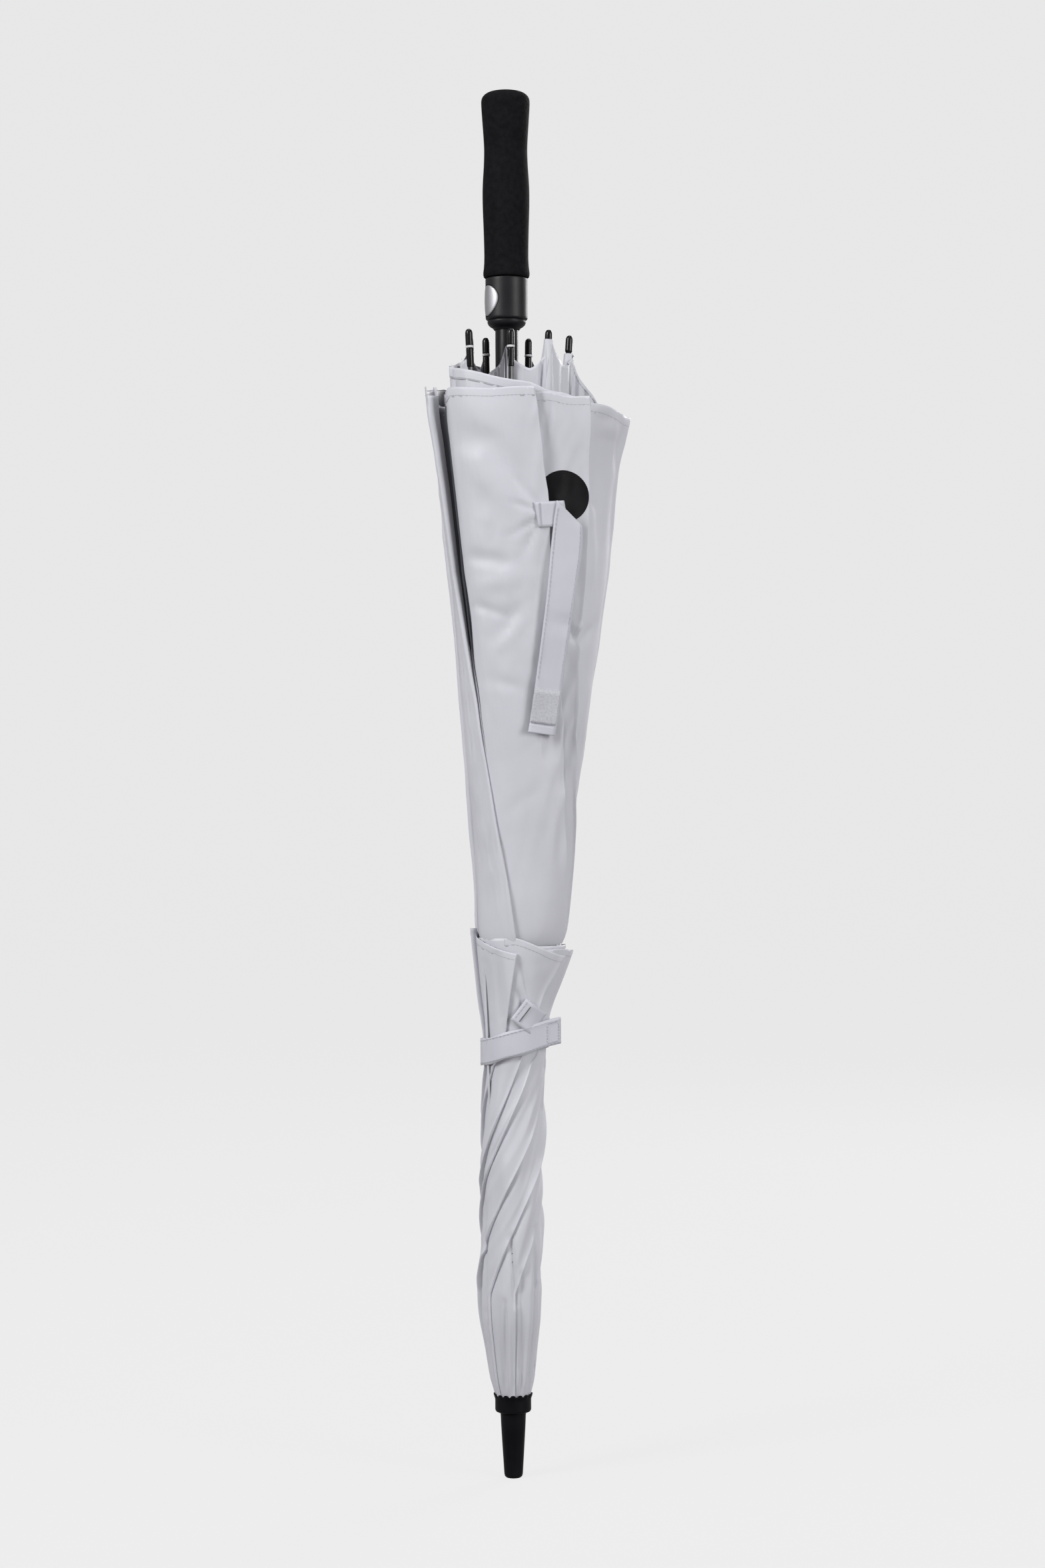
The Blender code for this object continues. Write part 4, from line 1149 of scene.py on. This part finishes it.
def make_hanging_strap():
    """The loose strap: a sewn root, a slanting fold and a tail that hangs down to its hooked end."""
    rows = curve_through(HANGING_STRAP, 8)
    left = on_front(MAIN_FINE, main_folds, rows[:, 0], rows[:, 1], rows[:, 4])
    right = on_front(MAIN_FINE, main_folds, rows[:, 2], rows[:, 3], rows[:, 4])
    sway = 0.0008 * np.sin(np.linspace(0.0, 9.0, len(rows)))
    left[:, 1] += sway
    right[:, 1] -= sway
    tail = strip_between("strap_tail", left, right, 0.0009, STRAP)
    x = np.linspace(0.0188, 0.04, 12)
    away = np.linspace(0.0006, 0.0022, 12)
    high = on_front(MAIN_FINE, main_folds, x, 0.6994 + 0.06 * (x - 0.0188), away)
    low = on_front(MAIN_FINE, main_folds, x + 0.003, 0.6815 + 0.06 * (x - 0.0188), away)
    root = strip_between("strap_root", high, low, 0.0008, STRAP)
    sides = [between(left, right, share, 0.001)[-19:-8] for share in (0.03, 0.97)]
    patch = strip_between("strap_hook_patch", *sides, 0.0011, FUZZ, 25)
    sides = between(left, right, 0.0, 0.001)[-8:], between(left, right, 1.0, 0.0008)[-8:]
    end = strip_between("strap_end_tab", *sides, 0.0008, STRAP)
    sewn = []
    for number, share in enumerate((0.07, 0.93)):
        line = between(left, right, share, 0.0006)[2:-19]
        sewn.append(stitches_along(f"strap_stitches_{number + 1}", line, 0.00024, 0.0034, 0.0025))
    before = (0.0, -0.0006, 0.0)
    tack = stitches_along("strap_tack", [high[2] + before, low[1] + before], 0.0003, 0.0012, 0.0009)
    cross = stitches_along("strap_end_stitches", [between(left, right, s, 0.0016)[-9] for s in (0.04, 0.96)])
    return tail, [root, patch, end, tack, cross, *sewn]


def band_middle(phi):
    return 0.314 + 0.007 * np.cos(phi)


def make_fastened_strap():
    """The strap round the bundle: it starts as a slanting root, winds round and ends as a free tab."""
    phi = math.radians(-50.0) - np.linspace(0.0, math.radians(372.0), 150)
    middle = band_middle(phi)
    snug = np.linspace(0.0021, 0.001, len(phi))
    radius = outline(VENT_FINE, middle, phi) * (1.0 + 0.4 * vent_folds(middle, phi)) + snug
    around_it = round_shaft(radius, phi, middle)
    tangent = around_it[0] - around_it[1]
    tangent = tangent / np.linalg.norm(tangent)
    reach = np.linspace(TAB_LENGTH, 0.0012, 12)[:, None]
    free = around_it[0] + tangent * reach + np.array((0.0, -0.001, 0.0)) * (reach / TAB_LENGTH) ** 2
    path = np.vstack([free, around_it])
    up = np.array((0.0, 0.0, BAND_WIDTH / 2.0)) + 0.0 * path
    flare = 0.0005 * np.sin(np.linspace(0.0, 40.0, len(path)))[:, None] * np.array((0.0, 0.0, 1.0))
    lower, upper = path - up, path + up
    band = strip_between("strap_band", lower + flare, upper + flare, STRAP_THICKNESS, STRAP)
    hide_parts("strap_lower")
    outside = np.array((0.2, -0.98, 0.0)) * 0.0008
    sewn = []
    for number, share in enumerate((0.08, 0.92)):
        line = between(lower, upper, share) * np.array((1.03, 1.03, 1.0)) + outside * 0.3
        sewn.append(stitches_along(f"band_stitches_{number + 1}", line[:100], 0.00021))
    box = []
    corners = [between(lower[i], upper[i], share) + outside for i in (1, 6) for share in (0.14, 0.86)]
    for start, end in ((0, 1), (2, 3), (0, 2), (1, 3)):
        ends = corners[start], corners[end]
        box.append(stitches_along(f"box_{len(box)}", ends, 0.00022, 0.0021, 0.0015))
    box = join_meshes("band_box_stitches", box, STITCH)
    along = np.linspace(0.0, 0.0185, 10)
    high = on_front(VENT_FINE, vent_folds, 0.0113 + 0.786 * along, 0.3468 - 0.618 * along, 0.0016)
    low = on_front(VENT_FINE, vent_folds, -0.0003 + 0.786 * along, 0.3322 - 0.618 * along, 0.0016)
    root = strip_between("band_root", high, low, STRAP_THICKNESS, STRAP)
    line = [between(high[3], low[3], share, 0.0009) for share in (0.12, 0.88)]
    tack = stitches_along("band_tack", line, 0.0004, 0.0011, 0.0009, TACK)
    edge = [between(high[1], low[1], share, 0.0008) for share in (0.05, 0.95)]
    hem = stitches_along("band_root_stitches", edge)
    return band, [root, tack, hem, box, *sewn]


def make_print():
    """A plain round print on the panel beside the loose strap."""
    turns = np.linspace(0.0, 2.0 * math.pi, 56, endpoint=False)
    ring, turn = np.meshgrid(np.linspace(0.002, 1.0, 13), turns, indexing="ij")
    x = PRINT_X + PRINT_RADIUS * ring * np.cos(turn)
    z = PRINT_Z + PRINT_RADIUS * ring * np.sin(turn)
    return grid_mesh("round_print", on_flap(2, x, z, 0.00035, MAIN_KIND), PRINT, wrap=True)


def make_pocket(k, top):
    """The cloth pocket that holds a rib tip's sleeve."""
    def folds(radius, height, angle):
        loose = 1.0 - step(height, -0.016, 0.0)
        wave = loose * 0.16 * np.sin(3.0 * angle + 9.0 * k)
        return radius * (1.0 + wave + 0.04 * np.sin(7.0 * angle)), height

    pocket = lathe(f"tip_pocket_{k + 1}", (
        (0.0027, 0.0004), (0.0031, 0.0006), (0.0032, 0.0), (0.0033, -0.003), (0.0036, -0.008),
        (0.0041, -0.014), (0.0048, -0.022), (0.0056, -0.032), (0.006, -0.042),
    ), 5, CLOTH, 40, folds)
    along_rib(pocket, k, top)
    return furled(pocket)


def make_slope():
    """The gore's hem that falls from the right-hand tip to the outer layers behind the right fin."""
    hem = curve_through(SLOPE_HEM, 8)
    points = np.zeros((14, len(hem), 3))
    for i in range(14):
        share = i / 13.0
        z = 0.75 + (hem[:, 2] - 0.75) * share
        pleat = 0.001 * np.sin(hem[:, 0] * 900.0) * (1.0 - 0.5 * share)
        lean = (0.824 - z) * 0.05
        points[i] = np.stack([hem[:, 0] - lean, hem[:, 1] + pleat, z], axis=-1)
    slope = grid_mesh("cloth_slope", points, CLOTH)
    thicken(slope, TRIM_THICKNESS)
    return slope, stitches_along("slope_stitches", points[-2] + np.array((0.0, -0.0003, 0.0)), 0.00018)


hanging_strap, hanging_parts = make_hanging_strap()
fastened_strap, fastened_parts = make_fastened_strap()
for piece in (hanging_strap, fastened_strap, *hanging_parts, *fastened_parts):
    furled(piece)
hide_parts("strap_upper")
round_print = furled(make_print())
pockets = [make_pocket(k, top) for k, top in POCKETED.items()]
pockets += [furled(piece) for piece in make_slope()]

# ---- finishes of the frame's own pieces ----
FINISHES = {
    "shaft": SHAFT, "grip_core": PLASTIC, "crown": PLASTIC, "button_spring": STEEL, "opening_spring": STEEL,
    "latch_plate": STEEL, "crown_wire": STEEL, "runner_wire": STEEL,
}
for number in range(RIBS):
    FINISHES[f"rib_{number + 1}"] = FIBRE
    FINISHES[f"stretcher_{number + 1}"] = FIBRE
    FINISHES[f"rib_bracket_{number + 1}"] = GLOSSY
for name, material in FINISHES.items():
    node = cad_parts[name]
    node.data.materials.clear()
    node.data.materials.append(material)
